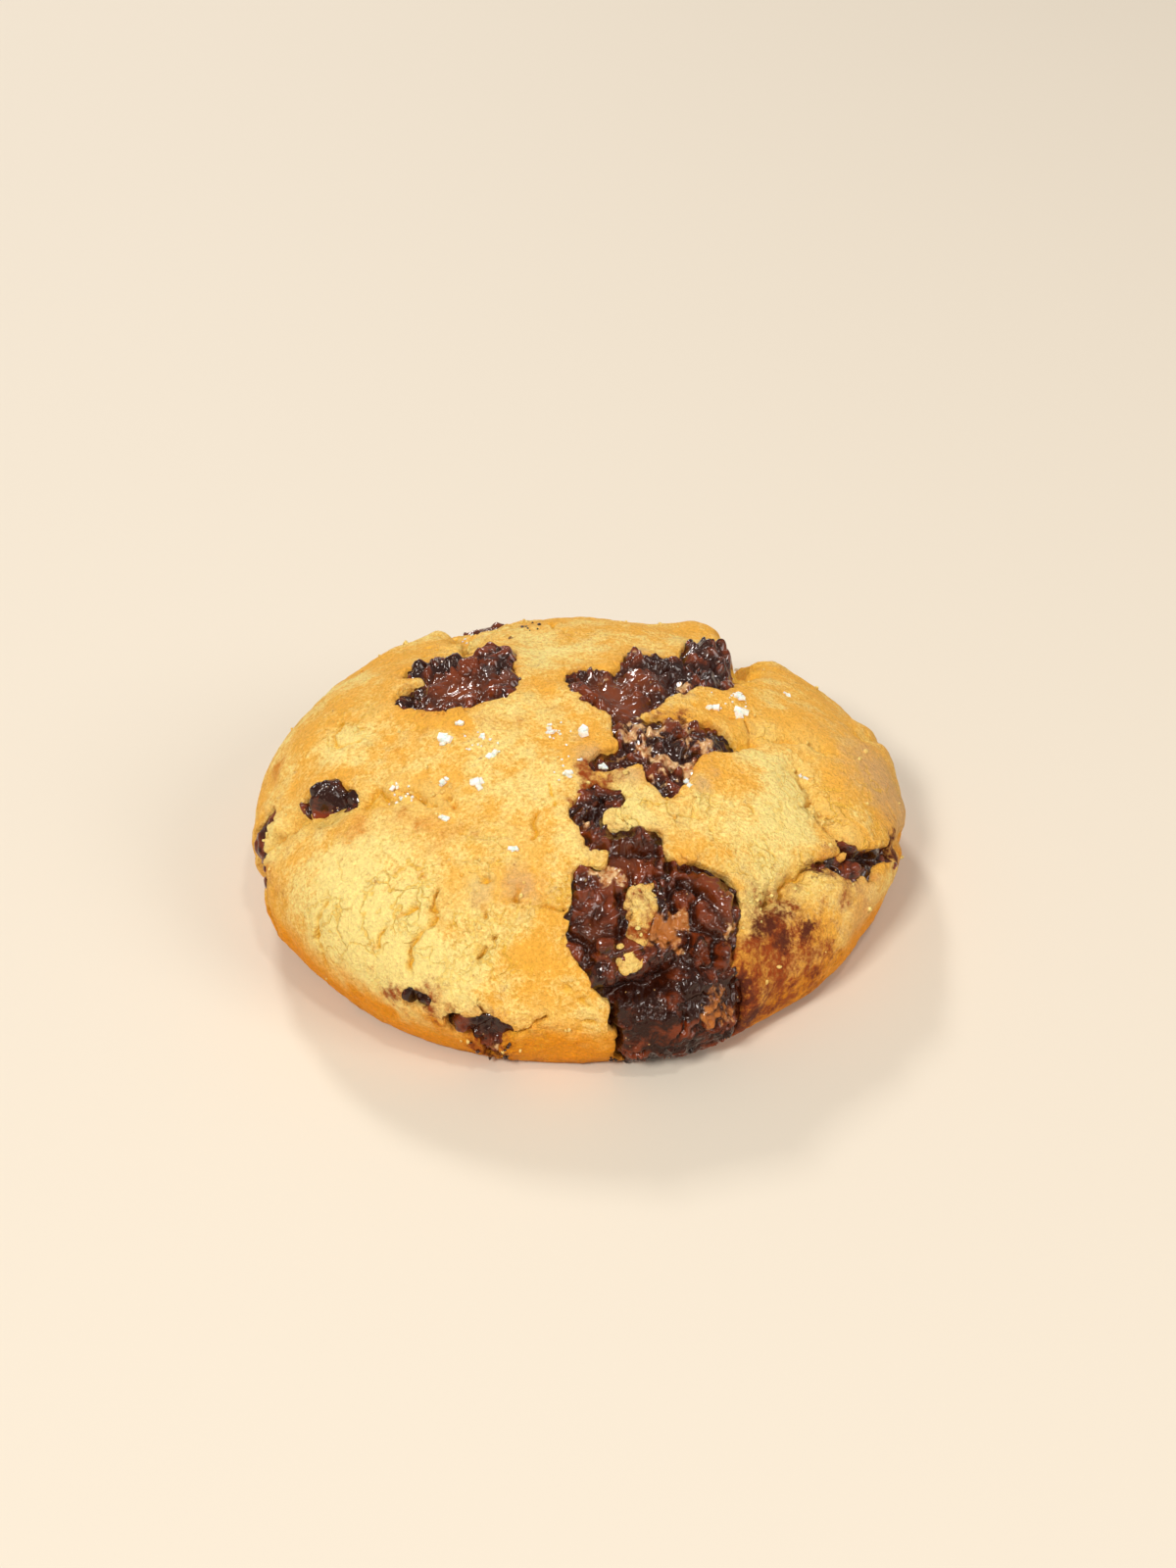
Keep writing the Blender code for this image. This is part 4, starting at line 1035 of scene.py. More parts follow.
def refine(item, chosen, cuts):
    """Splits the chosen faces into smaller ones."""
    choose_faces(item, chosen)
    bpy.ops.mesh.subdivide(number_cuts=cuts)
    bpy.ops.object.mode_set(mode="OBJECT")


def refine_crust(item):
    """Makes the grid finer at the lips of the pockets, then at the cracks and torn places."""
    points = form(face_centres(item.data)[:, :2])[0]
    refine(item, np.abs(nearest_pool(points)) < LIP_BAND, LIP_CUTS)
    points = form(face_centres(item.data)[:, :2])[0]
    away = np.abs(nearest_pool(points)) > LIP_BAND
    cracked = crack_distance(points) < WIDE_CRACK_BAND
    refine(item, ((strongest(points, TORN) > TORN_ENOUGH) | cracked) & away, DETAIL_CUTS)
    points = form(face_centres(item.data)[:, :2])[0]
    away = np.abs(nearest_pool(points)) > LIP_BAND
    refine(item, (crack_distance(points) < CRACK_BAND) & away, LIP_CUTS)


def new_grid(name, cells_x, cells_y):
    """A square grid from -1 to 1, ready to be bent."""
    deselect_all()
    bpy.ops.mesh.primitive_grid_add(x_subdivisions=cells_x, y_subdivisions=cells_y, size=2.0)
    item = bpy.context.object
    item.name = name
    item.data.name = name
    return item


def face_outwards():
    """Turns every face of the mesh in edit mode outwards and leaves edit mode."""
    bpy.ops.mesh.select_all(action="SELECT")
    bpy.ops.mesh.normals_make_consistent(inside=False)
    bpy.ops.object.mode_set(mode="OBJECT")


def close_base():
    """Runs rings in from the crust's lower edge and fills the middle, as the flat base."""
    bpy.ops.object.mode_set(mode="EDIT")
    bpy.ops.mesh.select_mode(type="EDGE")
    bpy.ops.mesh.select_all(action="DESELECT")
    bpy.ops.mesh.select_non_manifold(extend=False)
    reached = 1.0
    for share in BASE_RINGS:
        bpy.ops.mesh.extrude_edges_move()
        step = share / reached
        bpy.ops.transform.resize(value=(step, step, 1.0), center_override=(0.0, 0.0, 0.0))
        reached = share
    bpy.ops.mesh.edge_face_add()
    face_outwards()


def roughen_base(mesh, count):
    """Presses small hollows into the base, which stays flat enough to stand on."""
    points = read_points(mesh) / MM
    base = points[count:]
    hollow = sum(height * (1 + smooth_noise(base, cell, seed)) for cell, height, seed in BASE_HOLLOWS)
    inner = np.clip((RADIUS * BASE_SHARE - np.hypot(base[:, 0], base[:, 1])) / BASE_RIM, 0.0, 1.0)
    base[:, 2] = hollow * inner
    write_points(mesh, points * MM)


def finish_piece(item, material):
    """Gives a piece its material and what it rides on."""
    item.data.materials.clear()
    item.data.materials.append(material)
    item.data.shade_smooth()
    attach(item, BODY)


def add_crust(sizes, colours):
    """The whole dough: a grid bent over the pillow, with its pockets, cracks and base."""
    item = new_grid("crust", CRUST_CELLS, CRUST_CELLS)
    chart = square_to_disc(read_points(item.data)[:, :2])
    lay_flat(item.data, chart)
    refine_crust(item)
    chart = read_points(item.data)[:, :2]
    placed, _, marks = crust_surface(chart, sizes)
    at_edge = np.hypot(chart[:, 0], chart[:, 1]) > CRUST_REACH - EDGE_SPARE
    placed[at_edge, 2] = 0.0
    placed[:, 2] = np.maximum(placed[:, 2], 0.0)
    write_points(item.data, hold_inside(placed * MM))
    write_marks(item.data, marks)
    count = len(item.data.vertices)
    close_base()
    roughen_base(item.data, count)
    under = item.data.attributes["under"].data
    for i in range(count, len(item.data.vertices)):
        under[i].value = 1.0
    finish_piece(item, dough_material(colours))
    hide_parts(DOUGH_NODE)
    return item


def delete_faces(item, chosen):
    choose_faces(item, chosen)
    bpy.ops.mesh.delete(type="FACE")
    bpy.ops.object.mode_set(mode="OBJECT")


def face_centres(mesh):
    flat = np.empty(len(mesh.polygons) * 3)
    mesh.polygons.foreach_get("center", flat)
    return flat.reshape(-1, 3)


def border_edges(mesh):
    """The pairs of vertices whose edge has a face on one side only."""
    uses = np.zeros(len(mesh.edges), dtype=int)
    loop_edges = np.empty(len(mesh.loops), dtype=int)
    mesh.loops.foreach_get("edge_index", loop_edges)
    np.add.at(uses, loop_edges, 1)
    ends = np.empty(len(mesh.edges) * 2, dtype=int)
    mesh.edges.foreach_get("vertices", ends)
    return ends.reshape(-1, 2)[uses == 1]


def drop_pinched_corners(item):
    """Removes cells until no two of them meet at a corner alone."""
    while True:
        mesh = item.data
        counts = np.bincount(border_edges(mesh).ravel(), minlength=len(mesh.vertices))
        pinched = counts > 2
        if not pinched.any():
            return
        corners = np.empty(len(mesh.loops), dtype=int)
        mesh.loops.foreach_get("vertex_index", corners)
        chosen = pinched[corners].reshape(-1, 4).any(axis=1)
        delete_faces(item, chosen)


def snap_to_edge(chart, pool, edge):
    """Moves chart places along the field's slope until they lie on the wanted outline."""
    for _ in range(SNAP_STEPS):
        here = pool_field(form(chart)[0], pool) - edge
        ahead_u = pool_field(form(chart + [PROBE, 0.0])[0], pool) - edge
        ahead_v = pool_field(form(chart + [0.0, PROBE])[0], pool) - edge
        slope = np.stack([ahead_u - here, ahead_v - here], axis=1) / PROBE
        steepness = np.sum(slope * slope, axis=1) + SNAP_SOFTNESS
        step = np.clip(here / steepness, -MELT_CELL, MELT_CELL)
        chart = chart - slope * step[:, None]
    return chart


def melt_sheet(name, pool):
    """A flat grid on the chart that covers a pool and runs a little way under the dough's rim."""
    lobes = np.array([lobe for stroke in pool["strokes"] for lobe in stroke])
    spread = lobes[:, 2:] * SHEET_SCALE + SHEET_MARGIN
    low = (lobes[:, :2] - spread).min(axis=0)
    high = (lobes[:, :2] + spread).max(axis=0)
    cells = np.ceil((high - low) / MELT_CELL).astype(int)
    item = new_grid(name, int(cells[0]), int(cells[1]))
    mesh = item.data
    square = read_points(mesh)[:, :2]
    lay_flat(mesh, low + (square + 1.0) / 2.0 * cells * MELT_CELL)
    centres = face_centres(mesh)[:, :2]
    delete_faces(item, pool_field(form(centres)[0], pool) > MELT_BURIED)
    drop_pinched_corners(item)
    mesh = item.data
    chart = read_points(mesh)[:, :2]
    border = np.unique(border_edges(mesh))
    chart[border] = snap_to_edge(chart[border], pool, MELT_BURIED)
    lay_flat(mesh, chart)
    return item


def melt_crinkles(points):
    """Height of the crinkles, less where the chocolate lies smooth, and fibrous where it is thick."""
    calm = 1 - MELT_CALM * shares(points, MELT_SMOOTH)
    fudgy = shares(points, FUDGY)
    fibres = stretched(wander(points, BLOTCH_RAGS[1:]), FUDGE_GRAIN, FUDGE_STRETCH)
    crinkles = calm * (billows(points, MELT_CRINKLES) - CRINKLE_LEVEL) * (1 - fudgy)
    return crinkles + fudgy * (billows(fibres, FUDGE_CRINKLES) - FUDGE_LEVEL)


def melt_height(points, pool, sizes):
    """How far the chocolate's top stands out from the smooth pillow."""
    field = pool_field(points, pool)
    inside = smooth_step(-field, 0.0, MELT_SHOULDER)
    lumps = bumps(points, pool["knobs"]) + layers(points, POOL_LUMPS)
    crinkles = pool.get("crinkle", 1.0) * melt_crinkles(points)
    bits = shares(wander(points, BLOTCH_RAGS[1:]), DOUGH_BITS)
    groove = valleys(wander(points, CRACK_RAGS), MELT_GROOVES)[0]
    swelling = SWELLING_SHARE * np.minimum(bumps(points, SWELLINGS), 1.0)
    height = pool["rise"] * inside + lumps * (0.35 + 0.65 * inside) - MELT_SAG + swelling
    height += sizes.crinkle_height * crinkles * (0.7 + 0.3 * inside) + BIT_HEIGHT * bits - groove
    height = np.maximum(height, LEAST_COVER - POCKET_DEPTH)
    return height - EDGE_DIP * smooth_step(field, *EDGE_DIP_BAND) - fold_drop(points)


def fold_drop(points):
    """How far the crust's folds carry the chocolate down with them."""
    return folds(wander(points, CRACK_RAGS)) * np.clip(points[:, 2] / BROAD_FADE, 0.0, 1.0)


def melt_marks(points, pool):
    """The marks that the chocolate's colours follow."""
    field = pool_field(points, pool)
    return {
        "smooth": shares(points, MELT_SMOOTH),
        "bits": shares(wander(points, BLOTCH_RAGS[1:]), DOUGH_BITS),
        "fudgy": shares(points, FUDGY),
        "browned": shares(points, BROWNED),
        "thin": np.exp(-np.clip(-field, 0.0, None) / THIN_REACH),
        # Painted shade in the chocolate's grooves
        "groove": valleys(points, MELT_GROOVES)[1],
        # Painted shade: low in the crinkles the chocolate is coloured darker, high on them lighter
        "crest_shade": np.clip(0.5 + CREST_SHADE_GAIN * melt_crinkles(points), 0.0, 1.0),
    }


def add_melt(name, pool, sizes, material):
    """One pool of chocolate, as a closed slab with a crinkled top."""
    item = melt_sheet(name.replace("chocolate", "melt"), pool)
    bpy.ops.object.mode_set(mode="EDIT")
    bpy.ops.mesh.select_all(action="SELECT")
    bpy.ops.mesh.extrude_region()
    bpy.ops.object.mode_set(mode="OBJECT")
    mesh = item.data
    upper = np.empty(len(mesh.vertices), dtype=bool)
    mesh.vertices.foreach_get("select", upper)
    points, normals = form(read_points(mesh)[:, :2])
    under = SLAB_LIFT - pool["depth"] - fold_drop(points)
    height = np.where(upper, melt_height(points, pool, sizes), under)
    write_points(mesh, hold_inside((points + normals * height[:, None]) * MM))
    write_marks(mesh, melt_marks(points, pool))
    bpy.ops.object.mode_set(mode="EDIT")
    face_outwards()
    finish_piece(item, material)
    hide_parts(name)
    return item


def flake_places():
    """Chart places and lengths of the salt, listed in front and drawn by chance at the back."""
    draw = np.random.default_rng(FLAKE_SEED)
    places = list(FLAKES)
    while len(places) < len(FLAKES) + REAR_FLAKES:
        turn = draw.uniform(REAR_FLAKE_ANGLE, math.pi - REAR_FLAKE_ANGLE)
        reach = FLAKE_REACH * math.sqrt(draw.uniform(REAR_FLAKE_INNER, 1.0))
        place = (reach * math.cos(turn), reach * math.sin(turn))
        point = form(np.array([place]))[0]
        if place[1] > FLAKE_START and nearest_pool(point)[0] > FLAKE_CLEARANCE:
            places.append((place[0], place[1], draw.uniform(*REAR_FLAKE_SIZES)))
    return places


def add_crystal(bm, seat, lean, half, draw):
    """A chipped plate of salt: the hull of points drawn in a squashed box."""
    turn = Vector(lean).normalized().to_track_quat("Z", "Y").to_matrix()
    spin = draw.uniform(0.0, math.pi)
    made = []
    for corner in np.ndindex(2, 2, 2):
        spot = (np.array(corner) * 2 - 1) * half * (1 - draw.uniform(0.0, CRYSTAL_CHIP, 3))
        made.append(spot)
    for _ in range(HULL_POINTS):
        made.append(draw.uniform(-0.9, 0.9, 3) * half)
    verts = []
    for x, y, z in made:
        flat = Vector((x * math.cos(spin) - y * math.sin(spin), x * math.sin(spin) + y * math.cos(spin), z))
        verts.append(bm.verts.new((Vector(seat) + turn @ flat) * MM))
    hull = bmesh.ops.convex_hull(bm, input=verts, use_existing_faces=False)
    spare = {v for v in hull["geom_interior"] + hull["geom_unused"] if isinstance(v, bmesh.types.BMVert)}
    bmesh.ops.delete(bm, geom=list(spare), context="VERTS")


def add_flake(bm, seat, normal, length, draw):
    """A flake of salt: a few crystals grown together."""
    for _ in range(FLAKE_SHARDS):
        size = length * draw.uniform(*SHARD_SIZES)
        half = np.array([0.5, draw.uniform(*SHARD_WIDTHS), draw.uniform(*SHARD_HEIGHTS)]) * size
        side = draw.uniform(-SHARD_SPREAD, SHARD_SPREAD, 3) * length
        side = side - normal * (side @ normal)
        place = seat + side + normal * half[2] * draw.uniform(0.1, 0.9)
        add_crystal(bm, place, normal + draw.uniform(-SHARD_LEAN, SHARD_LEAN, 3), half, draw)


def melt_top(chart, name, sizes):
    """Places on top of a pool for chart places, with the outward directions there."""
    points, normals = form(np.array(chart, dtype=float))
    return points + normals * melt_height(points, POOLS[name], sizes)[:, None], normals


def mesh_piece(name, bm):
    """A new object made from a mesh in the making."""
    mesh = bpy.data.meshes.new(name)
    for vert in bm.verts:
        vert.co = hold_inside(np.array([vert.co]))[0]
    bmesh.ops.recalc_face_normals(bm, faces=bm.faces[:])
    bm.to_mesh(mesh)
    bm.free()
    item = bpy.data.objects.new(name, mesh)
    bpy.context.scene.collection.objects.link(item)
    return item


def add_salt(sizes, colours):
    """Flakes on the crust and the chocolate, and fine grains round them."""
    draw = np.random.default_rng(FLAKE_SEED + 1)
    bm = bmesh.new()
    places = flake_places()
    seats, normals, _ = crust_surface(np.array([place[:2] for place in places]), sizes)
    for seat, normal, place in zip(seats, normals, places):
        add_flake(bm, seat, normal, place[2], draw)
    for u, v, length in MELT_FLAKES:
        seats, normals = melt_top([(u, v)], "chocolate_middle", sizes)
        add_flake(bm, seats[0], normals[0], length, draw)
    for u, v, reach in DUSTED:
        chart = np.array([u, v]) + draw.normal(0.0, reach / 2, (GRAINS_EACH, 2))
        seats, normals, _ = crust_surface(chart, sizes)
        for seat, normal in zip(seats, normals):
            half = draw.uniform(*GRAIN_SIZES) * np.array(GRAIN_SHAPE)
            lean = normal + draw.uniform(-GRAIN_LEAN, GRAIN_LEAN, 3)
            add_crystal(bm, seat + normal * GRAIN_LIFT, lean, half, draw)
    item = mesh_piece("salt_flakes", bm)
    finish_piece(item, salt_material(colours))
    item.data.shade_flat()
    return item


def add_lump(bm, seat, size, draw):
    """A crumb: a small ball pushed out of shape."""
    made = bmesh.ops.create_icosphere(bm, subdivisions=1, radius=1.0)["verts"]
    stretch = draw.uniform(0.6, 1.2, 3)
    for vert in made:
        rough = 1 + draw.uniform(-0.28, 0.28)
        spot = np.array(vert.co) * stretch * size * rough
        vert.co = Vector((seat + spot) * MM)


def add_dough_crumbs(sizes, colours):
    """Loose crumbs along the torn places and cracks."""
    draw = np.random.default_rng(CRUMB_SEED)
    turn = draw.uniform(0.0, 2 * math.pi, CRUMB_TRIES)
    reach = CRUST_REACH * CRUMB_REACH * np.sqrt(draw.uniform(0.0, 1.0, CRUMB_TRIES))
    chart = np.stack([reach * np.cos(turn), reach * np.sin(turn)], axis=1)
    seats, normals, marks = crust_surface(chart, sizes)
    edge = nearest_pool(form(chart)[0])
    chance = CRUMB_CHANCES[0] * marks["torn"] ** 2 + CRUMB_CHANCES[1]
    kept = (draw.uniform(0.0, 1.0, CRUMB_TRIES) < chance) & (edge > CRUMB_CLEARANCE)
    bm = bmesh.new()
    for seat, normal in zip(seats[kept], normals[kept]):
        size = draw.uniform(*CRUMB_SIZES)
        add_lump(bm, seat + normal * size * CRUMB_LIFT, size, draw)
    item = mesh_piece("dough_crumbs", bm)
    write_marks(item.data, {"pale": np.full(len(item.data.vertices), CRUMB_PALENESS)})
    finish_piece(item, dough_material(colours))
    return item


def add_chocolate_crumbs(sizes, material):
    """Loose crumbs of chocolate near the pools."""
    draw = np.random.default_rng(CRUMB_SEED + 1)
    bm = bmesh.new()
    for u, v, reach, count in CHOCOLATE_CRUMBS:
        chart = np.array([u, v]) + draw.normal(0.0, reach / 2, (count, 2))
        away = np.hypot(chart[:, 0], chart[:, 1])
        chart = chart * np.minimum(1.0, CHOCOLATE_CRUMB_REACH / away)[:, None]
        seats, normals, _ = crust_surface(chart, sizes)
        clear = nearest_pool(form(chart)[0]) > CHOCOLATE_CRUMB_CLEARANCE
        for seat, normal in zip(seats[clear], normals[clear]):
            size = draw.uniform(*CHOCOLATE_CRUMB_SIZES)
            add_lump(bm, seat + normal * size * CHOCOLATE_CRUMB_LIFT, size, draw)
    item = mesh_piece("chocolate_crumbs", bm)
    finish_piece(item, material)
    return item


def new_material(name):
    material = bpy.data.materials.new(name)
    material.use_nodes = True
    return material, material.node_tree, material.node_tree.nodes["Principled BSDF"]


def object_places(tree):
    return tree.nodes.new("ShaderNodeTexCoord").outputs["Object"]


def noise(tree, places, scale, detail, roughness=0.55, distortion=0.0):
    made = tree.nodes.new("ShaderNodeTexNoise")
    made.inputs["Scale"].default_value = scale
    made.inputs["Detail"].default_value = detail
    made.inputs["Roughness"].default_value = roughness
    made.inputs["Distortion"].default_value = distortion
    tree.links.new(places, made.inputs["Vector"])
    return made.outputs["Fac"]


def cells(tree, places, scale, feature="F1"):
    made = tree.nodes.new("ShaderNodeTexVoronoi")
    made.feature = feature
    made.inputs["Scale"].default_value = scale
    tree.links.new(places, made.inputs["Vector"])
    return made


def mark(tree, name):
    made = tree.nodes.new("ShaderNodeAttribute")
    made.attribute_name = name
    return made.outputs["Fac"]


def plug(tree, socket, value):
    if isinstance(value, (int, float)):
        socket.default_value = value
    elif isinstance(value, (tuple, list)):
        socket.default_value = (*value[:3], 1.0)
    else:
        tree.links.new(value, socket)


def maths(tree, operation, a, b=0.0, clamp=False):
    made = tree.nodes.new("ShaderNodeMath")
    made.operation = operation
    made.use_clamp = clamp
    plug(tree, made.inputs[0], a)
    plug(tree, made.inputs[1], b)
    return made.outputs[0]


def steps(tree, value, low, high, to_low=0.0, to_high=1.0):
    """Eases a value from one range to another."""
    made = tree.nodes.new("ShaderNodeMapRange")
    made.interpolation_type = "SMOOTHSTEP"
    plug(tree, made.inputs["Value"], value)
    made.inputs["From Min"].default_value = low
    made.inputs["From Max"].default_value = high
    made.inputs["To Min"].default_value = to_low
    made.inputs["To Max"].default_value = to_high
    return made.outputs["Result"]


def blend_colours(tree, share, a, b, way="MIX"):
    made = tree.nodes.new("ShaderNodeMix")
    made.data_type = "RGBA"
    made.blend_type = way
    made.clamp_factor = True
    plug(tree, made.inputs["Factor"], share)
    plug(tree, made.inputs[6], a)
    plug(tree, made.inputs[7], b)
    return made.outputs[2]


def bump(tree, height, distance, strength, before=None):
    made = tree.nodes.new("ShaderNodeBump")
    made.inputs["Strength"].default_value = strength
    made.inputs["Distance"].default_value = distance
    tree.links.new(height, made.inputs["Height"])
    if before:
        tree.links.new(before, made.inputs["Normal"])
    return made.outputs["Normal"]


def warped(tree, places, scale, amount):
    """Shifts places by a smooth noise, so that straight cell walls turn ragged."""
    made = tree.nodes.new("ShaderNodeTexNoise")
    made.inputs["Scale"].default_value = scale
    made.inputs["Detail"].default_value = 3.0
    tree.links.new(places, made.inputs["Vector"])
    shift = tree.nodes.new("ShaderNodeVectorMath")
    shift.operation = "MULTIPLY_ADD"
    tree.links.new(made.outputs["Color"], shift.inputs[0])
    shift.inputs[1].default_value = (amount, amount, amount)
    tree.links.new(places, shift.inputs[2])
    return shift.outputs[0]


def times(tree, a, b):
    return maths(tree, "MULTIPLY", a, b)


def centred(tree, value, gain):
    """Turns a noise of 0 to 1 into swings round nought."""
    return times(tree, maths(tree, "SUBTRACT", value, 0.5), gain)


def added(tree, *values):
    total = values[0]
    for value in values[1:]:
        total = maths(tree, "ADD", total, value)
    return total


def crack_net(tree, places, scale, rag, half_width, patch_scale, patch_low):
    """A net of fine ragged cracks that shows in patches, from 0 to 1 in their middle."""
    wall = cells(tree, warped(tree, places, 1.7 * scale, rag), scale, "DISTANCE_TO_EDGE")
    line = steps(tree, wall.outputs["Distance"], 0.0, half_width, 1.0, 0.0)
    patch = steps(tree, noise(tree, places, patch_scale, 3.0), patch_low, patch_low + 0.1)
    return times(tree, line, patch)


def noises(tree, table):
    """The listed noises by name, over the object's own places."""
    places = object_places(tree)
    return {name: noise(tree, places, *row) for name, row in table.items()}


def ragged_mark(tree, found, name):
    """A mark of the mesh whose edge is turned ragged by noises, from 0 to 1."""
    swings, low, high = RAGGED_MARKS[name]
    parts = [centred(tree, found[key], gain) for key, gain in swings.items()]
    return steps(tree, added(tree, mark(tree, name), *parts), low, high)


def tinted(tree, colour, coats):
    """Lays coats of colour over each other, each by its own share."""
    for share, coat in coats:
        colour = blend_colours(tree, share, colour, tuple(coat))
    return colour


def fine_cracks(tree):
    """The nets of fine cracks, strongest where the crust is crumbly."""
    places = object_places(tree)
    crust_net = crack_net(tree, places, *CRUST_NET)
    crumb_net = crack_net(tree, places, *CRUMB_NET)
    net = maths(tree, "MAXIMUM", crust_net, times(tree, crumb_net, 0.7))
    return times(tree, net, steps(tree, mark(tree, "crumbly"), 0.0, 0.8, 0.3, 1.0))


def bare_crust(tree, colours, found):
    """Golden crust that turns pale in patches, spots and grains, and where the pale mark paints a highlight
    on the lit lobes.
    """
    paleness_and_highlight = added(
        tree,
        steps(tree, found["broad"], 0.38, 0.62, 0.0, 0.5),
        steps(tree, found["middling"], 0.35, 0.65, 0.0, 0.45),
        # The pale mark: real pale mottling and a painted highlight on the lit lobes
        times(tree, mark(tree, "pale"), 0.8),
        centred(tree, found["patchy"], 1.5),
        centred(tree, found["sandy"], 1.2),
        centred(tree, found["grain"], 1.6),
    )
    share = steps(tree, paleness_and_highlight, 0.22, 1.22)
    return blend_colours(tree, share, tuple(colours.golden_dough), tuple(colours.pale_dough_and_highlight))


def dough_coats(tree, colours, found, net):
    """What lies over the bare crust, from the lowest coat to the topmost."""
    patchy = found["patchy"]
    freckles = steps(tree, found["freckled"], 0.66, 0.76, 0.0, 0.45)
    return (
        # Painted shade on the right flank, mixed with real greyer crust
        (ragged_mark(tree, found, "tan_and_flank_shade"), colours.tan_dough_and_flank_shade),
        (times(tree, mark(tree, "torn"), 0.55), colours.pale_dough_and_highlight),
        (maths(tree, "MAXIMUM", ragged_mark(tree, found, "toasted"), freckles), colours.toasted_dough),
        # Painted reflection of golden light low on the sides, over real browning
        (ragged_mark(tree, found, "amber_and_reflection"), colours.amber_dough_and_reflection),
        # Real yellow crumb in the cracks, brightened as painted light against their shade
        (maths(tree, "MAXIMUM", mark(tree, "crack"), times(tree, net, 0.65)), colours.crack_inside_and_painted_light),
        (times(tree, mark(tree, "under"), steps(tree, patchy, 0.2, 0.75, 0.55, 1.0)), colours.underside),
        (times(tree, mark(tree, "glow"), steps(tree, patchy, 0.4, 0.65, 0.0, 0.8)), colours.toasted_dough),
        (ragged_mark(tree, found, "smeared"), colours.smear),
        (ragged_mark(tree, found, "stained"), colours.stain),
    )


def dough_material(colours):
    """Pale sandy crust: golden and toasted patches, fine cracks, and stains by the chocolate."""
    material, tree, shader = new_material("baked_dough")
    found = noises(tree, DOUGH_NOISES)
    net = fine_cracks(tree)
    colour = tinted(tree, bare_crust(tree, colours, found), dough_coats(tree, colours, found, net))
    speckle = times(tree, steps(tree, found["sandy"], 0.28, 0.72, 0.92, 1.11),
                    steps(tree, found["grain"], 0.28, 0.72, 0.87, 1.15))
    colour = blend_colours(tree, 1.0, colour, speckle, "MULTIPLY")
    # Painted shade: the pocket's wall below the rim turns dark chocolate colour, partly chocolate on the wall
    # and partly shade in the recess
    colour = blend_colours(tree, mark(tree, "pocket"), colour, tuple(colours.dark_chocolate_and_shade))
    tree.links.new(colour, shader.inputs["Base Color"])
    rough = steps(tree, found["patchy"], 0.3, 0.7, 0.62, 0.82)
    rough = maths(tree, "SUBTRACT", rough, times(tree, mark(tree, "pocket"), 0.35))
    tree.links.new(rough, shader.inputs["Roughness"])
    shader.inputs["Specular IOR Level"].default_value = 0.25
    shader.inputs["Subsurface Weight"].default_value = 0.08
    shader.inputs["Subsurface Radius"].default_value = (1.0, 0.6, 0.3)
    shader.inputs["Subsurface Scale"].default_value = 0.0006
    relief = added(tree, times(tree, found["patchy"], 1.4), times(tree, found["sandy"], 1.0),
                   times(tree, found["grain"], 0.7))
    relief = maths(tree, "SUBTRACT", relief, times(tree, net, 0.5))
    tree.links.new(bump(tree, relief, 0.0006, 0.9), shader.inputs["Normal"])
    return material


def bare_chocolate(tree, colours, found):
    """Chocolate without what is stirred into it: dark and milder tones at random, with painted shade
    darkening its crinkles' hollows and grooves.
    """
    depth = steps(tree, added(tree, found["broad"], centred(tree, found["streaky"], 0.9)), 0.38, 0.62)
    # Painted shade: the crinkles' hollows turn dark chocolate colour, their tops keep the lighter tone
    depth = times(tree, depth, steps(tree, mark(tree, "crest_shade"), 0.2, 0.85, 0.15, 1.0))
    colour = blend_colours(tree, depth, tuple(colours.dark_chocolate_and_shade), tuple(colours.chocolate))
    thin = times(tree, mark(tree, "thin"), steps(tree, found["streaky"], 0.42, 0.62, 0.0, 0.9))
    return tinted(tree, colour, (
        (times(tree, mark(tree, "smooth"), 0.9), colours.smooth_chocolate),
        (thin, colours.thin_chocolate),
        # Painted shade in the grooves of the chocolate
        (times(tree, mark(tree, "groove"), 0.8), colours.dark_chocolate_and_shade),
    ))


def rare_flecks(tree, found):
    """Small pale flecks, in a few places only."""
    specks = cells(tree, object_places(tree), SPECK_SCALE)
    fleck = steps(tree, specks.outputs["Distance"], 0.08, 0.16, 1.0, 0.0)
    rare = maths(tree, "GREATER_THAN", found["rare"], 0.6)
    return times(tree, times(tree, fleck, rare), 0.55)


def chocolate_relief(tree, found):
    """Worm-like ripples, calmer where the chocolate lies smooth."""
    worms = maths(tree, "ABSOLUTE", centred(tree, found["worms"], 2.0))
    ripple = maths(tree, "ABSOLUTE", centred(tree, found["ripple"], 2.0))
    calm = maths(tree, "SUBTRACT", 1.0, times(tree, mark(tree, "smooth"), 0.8))
    relief = times(tree, added(tree, worms, times(tree, ripple, 0.5)), calm)
    return added(tree, relief, times(tree, found["streaky"], 0.6), times(tree, found["fine"], 0.2))


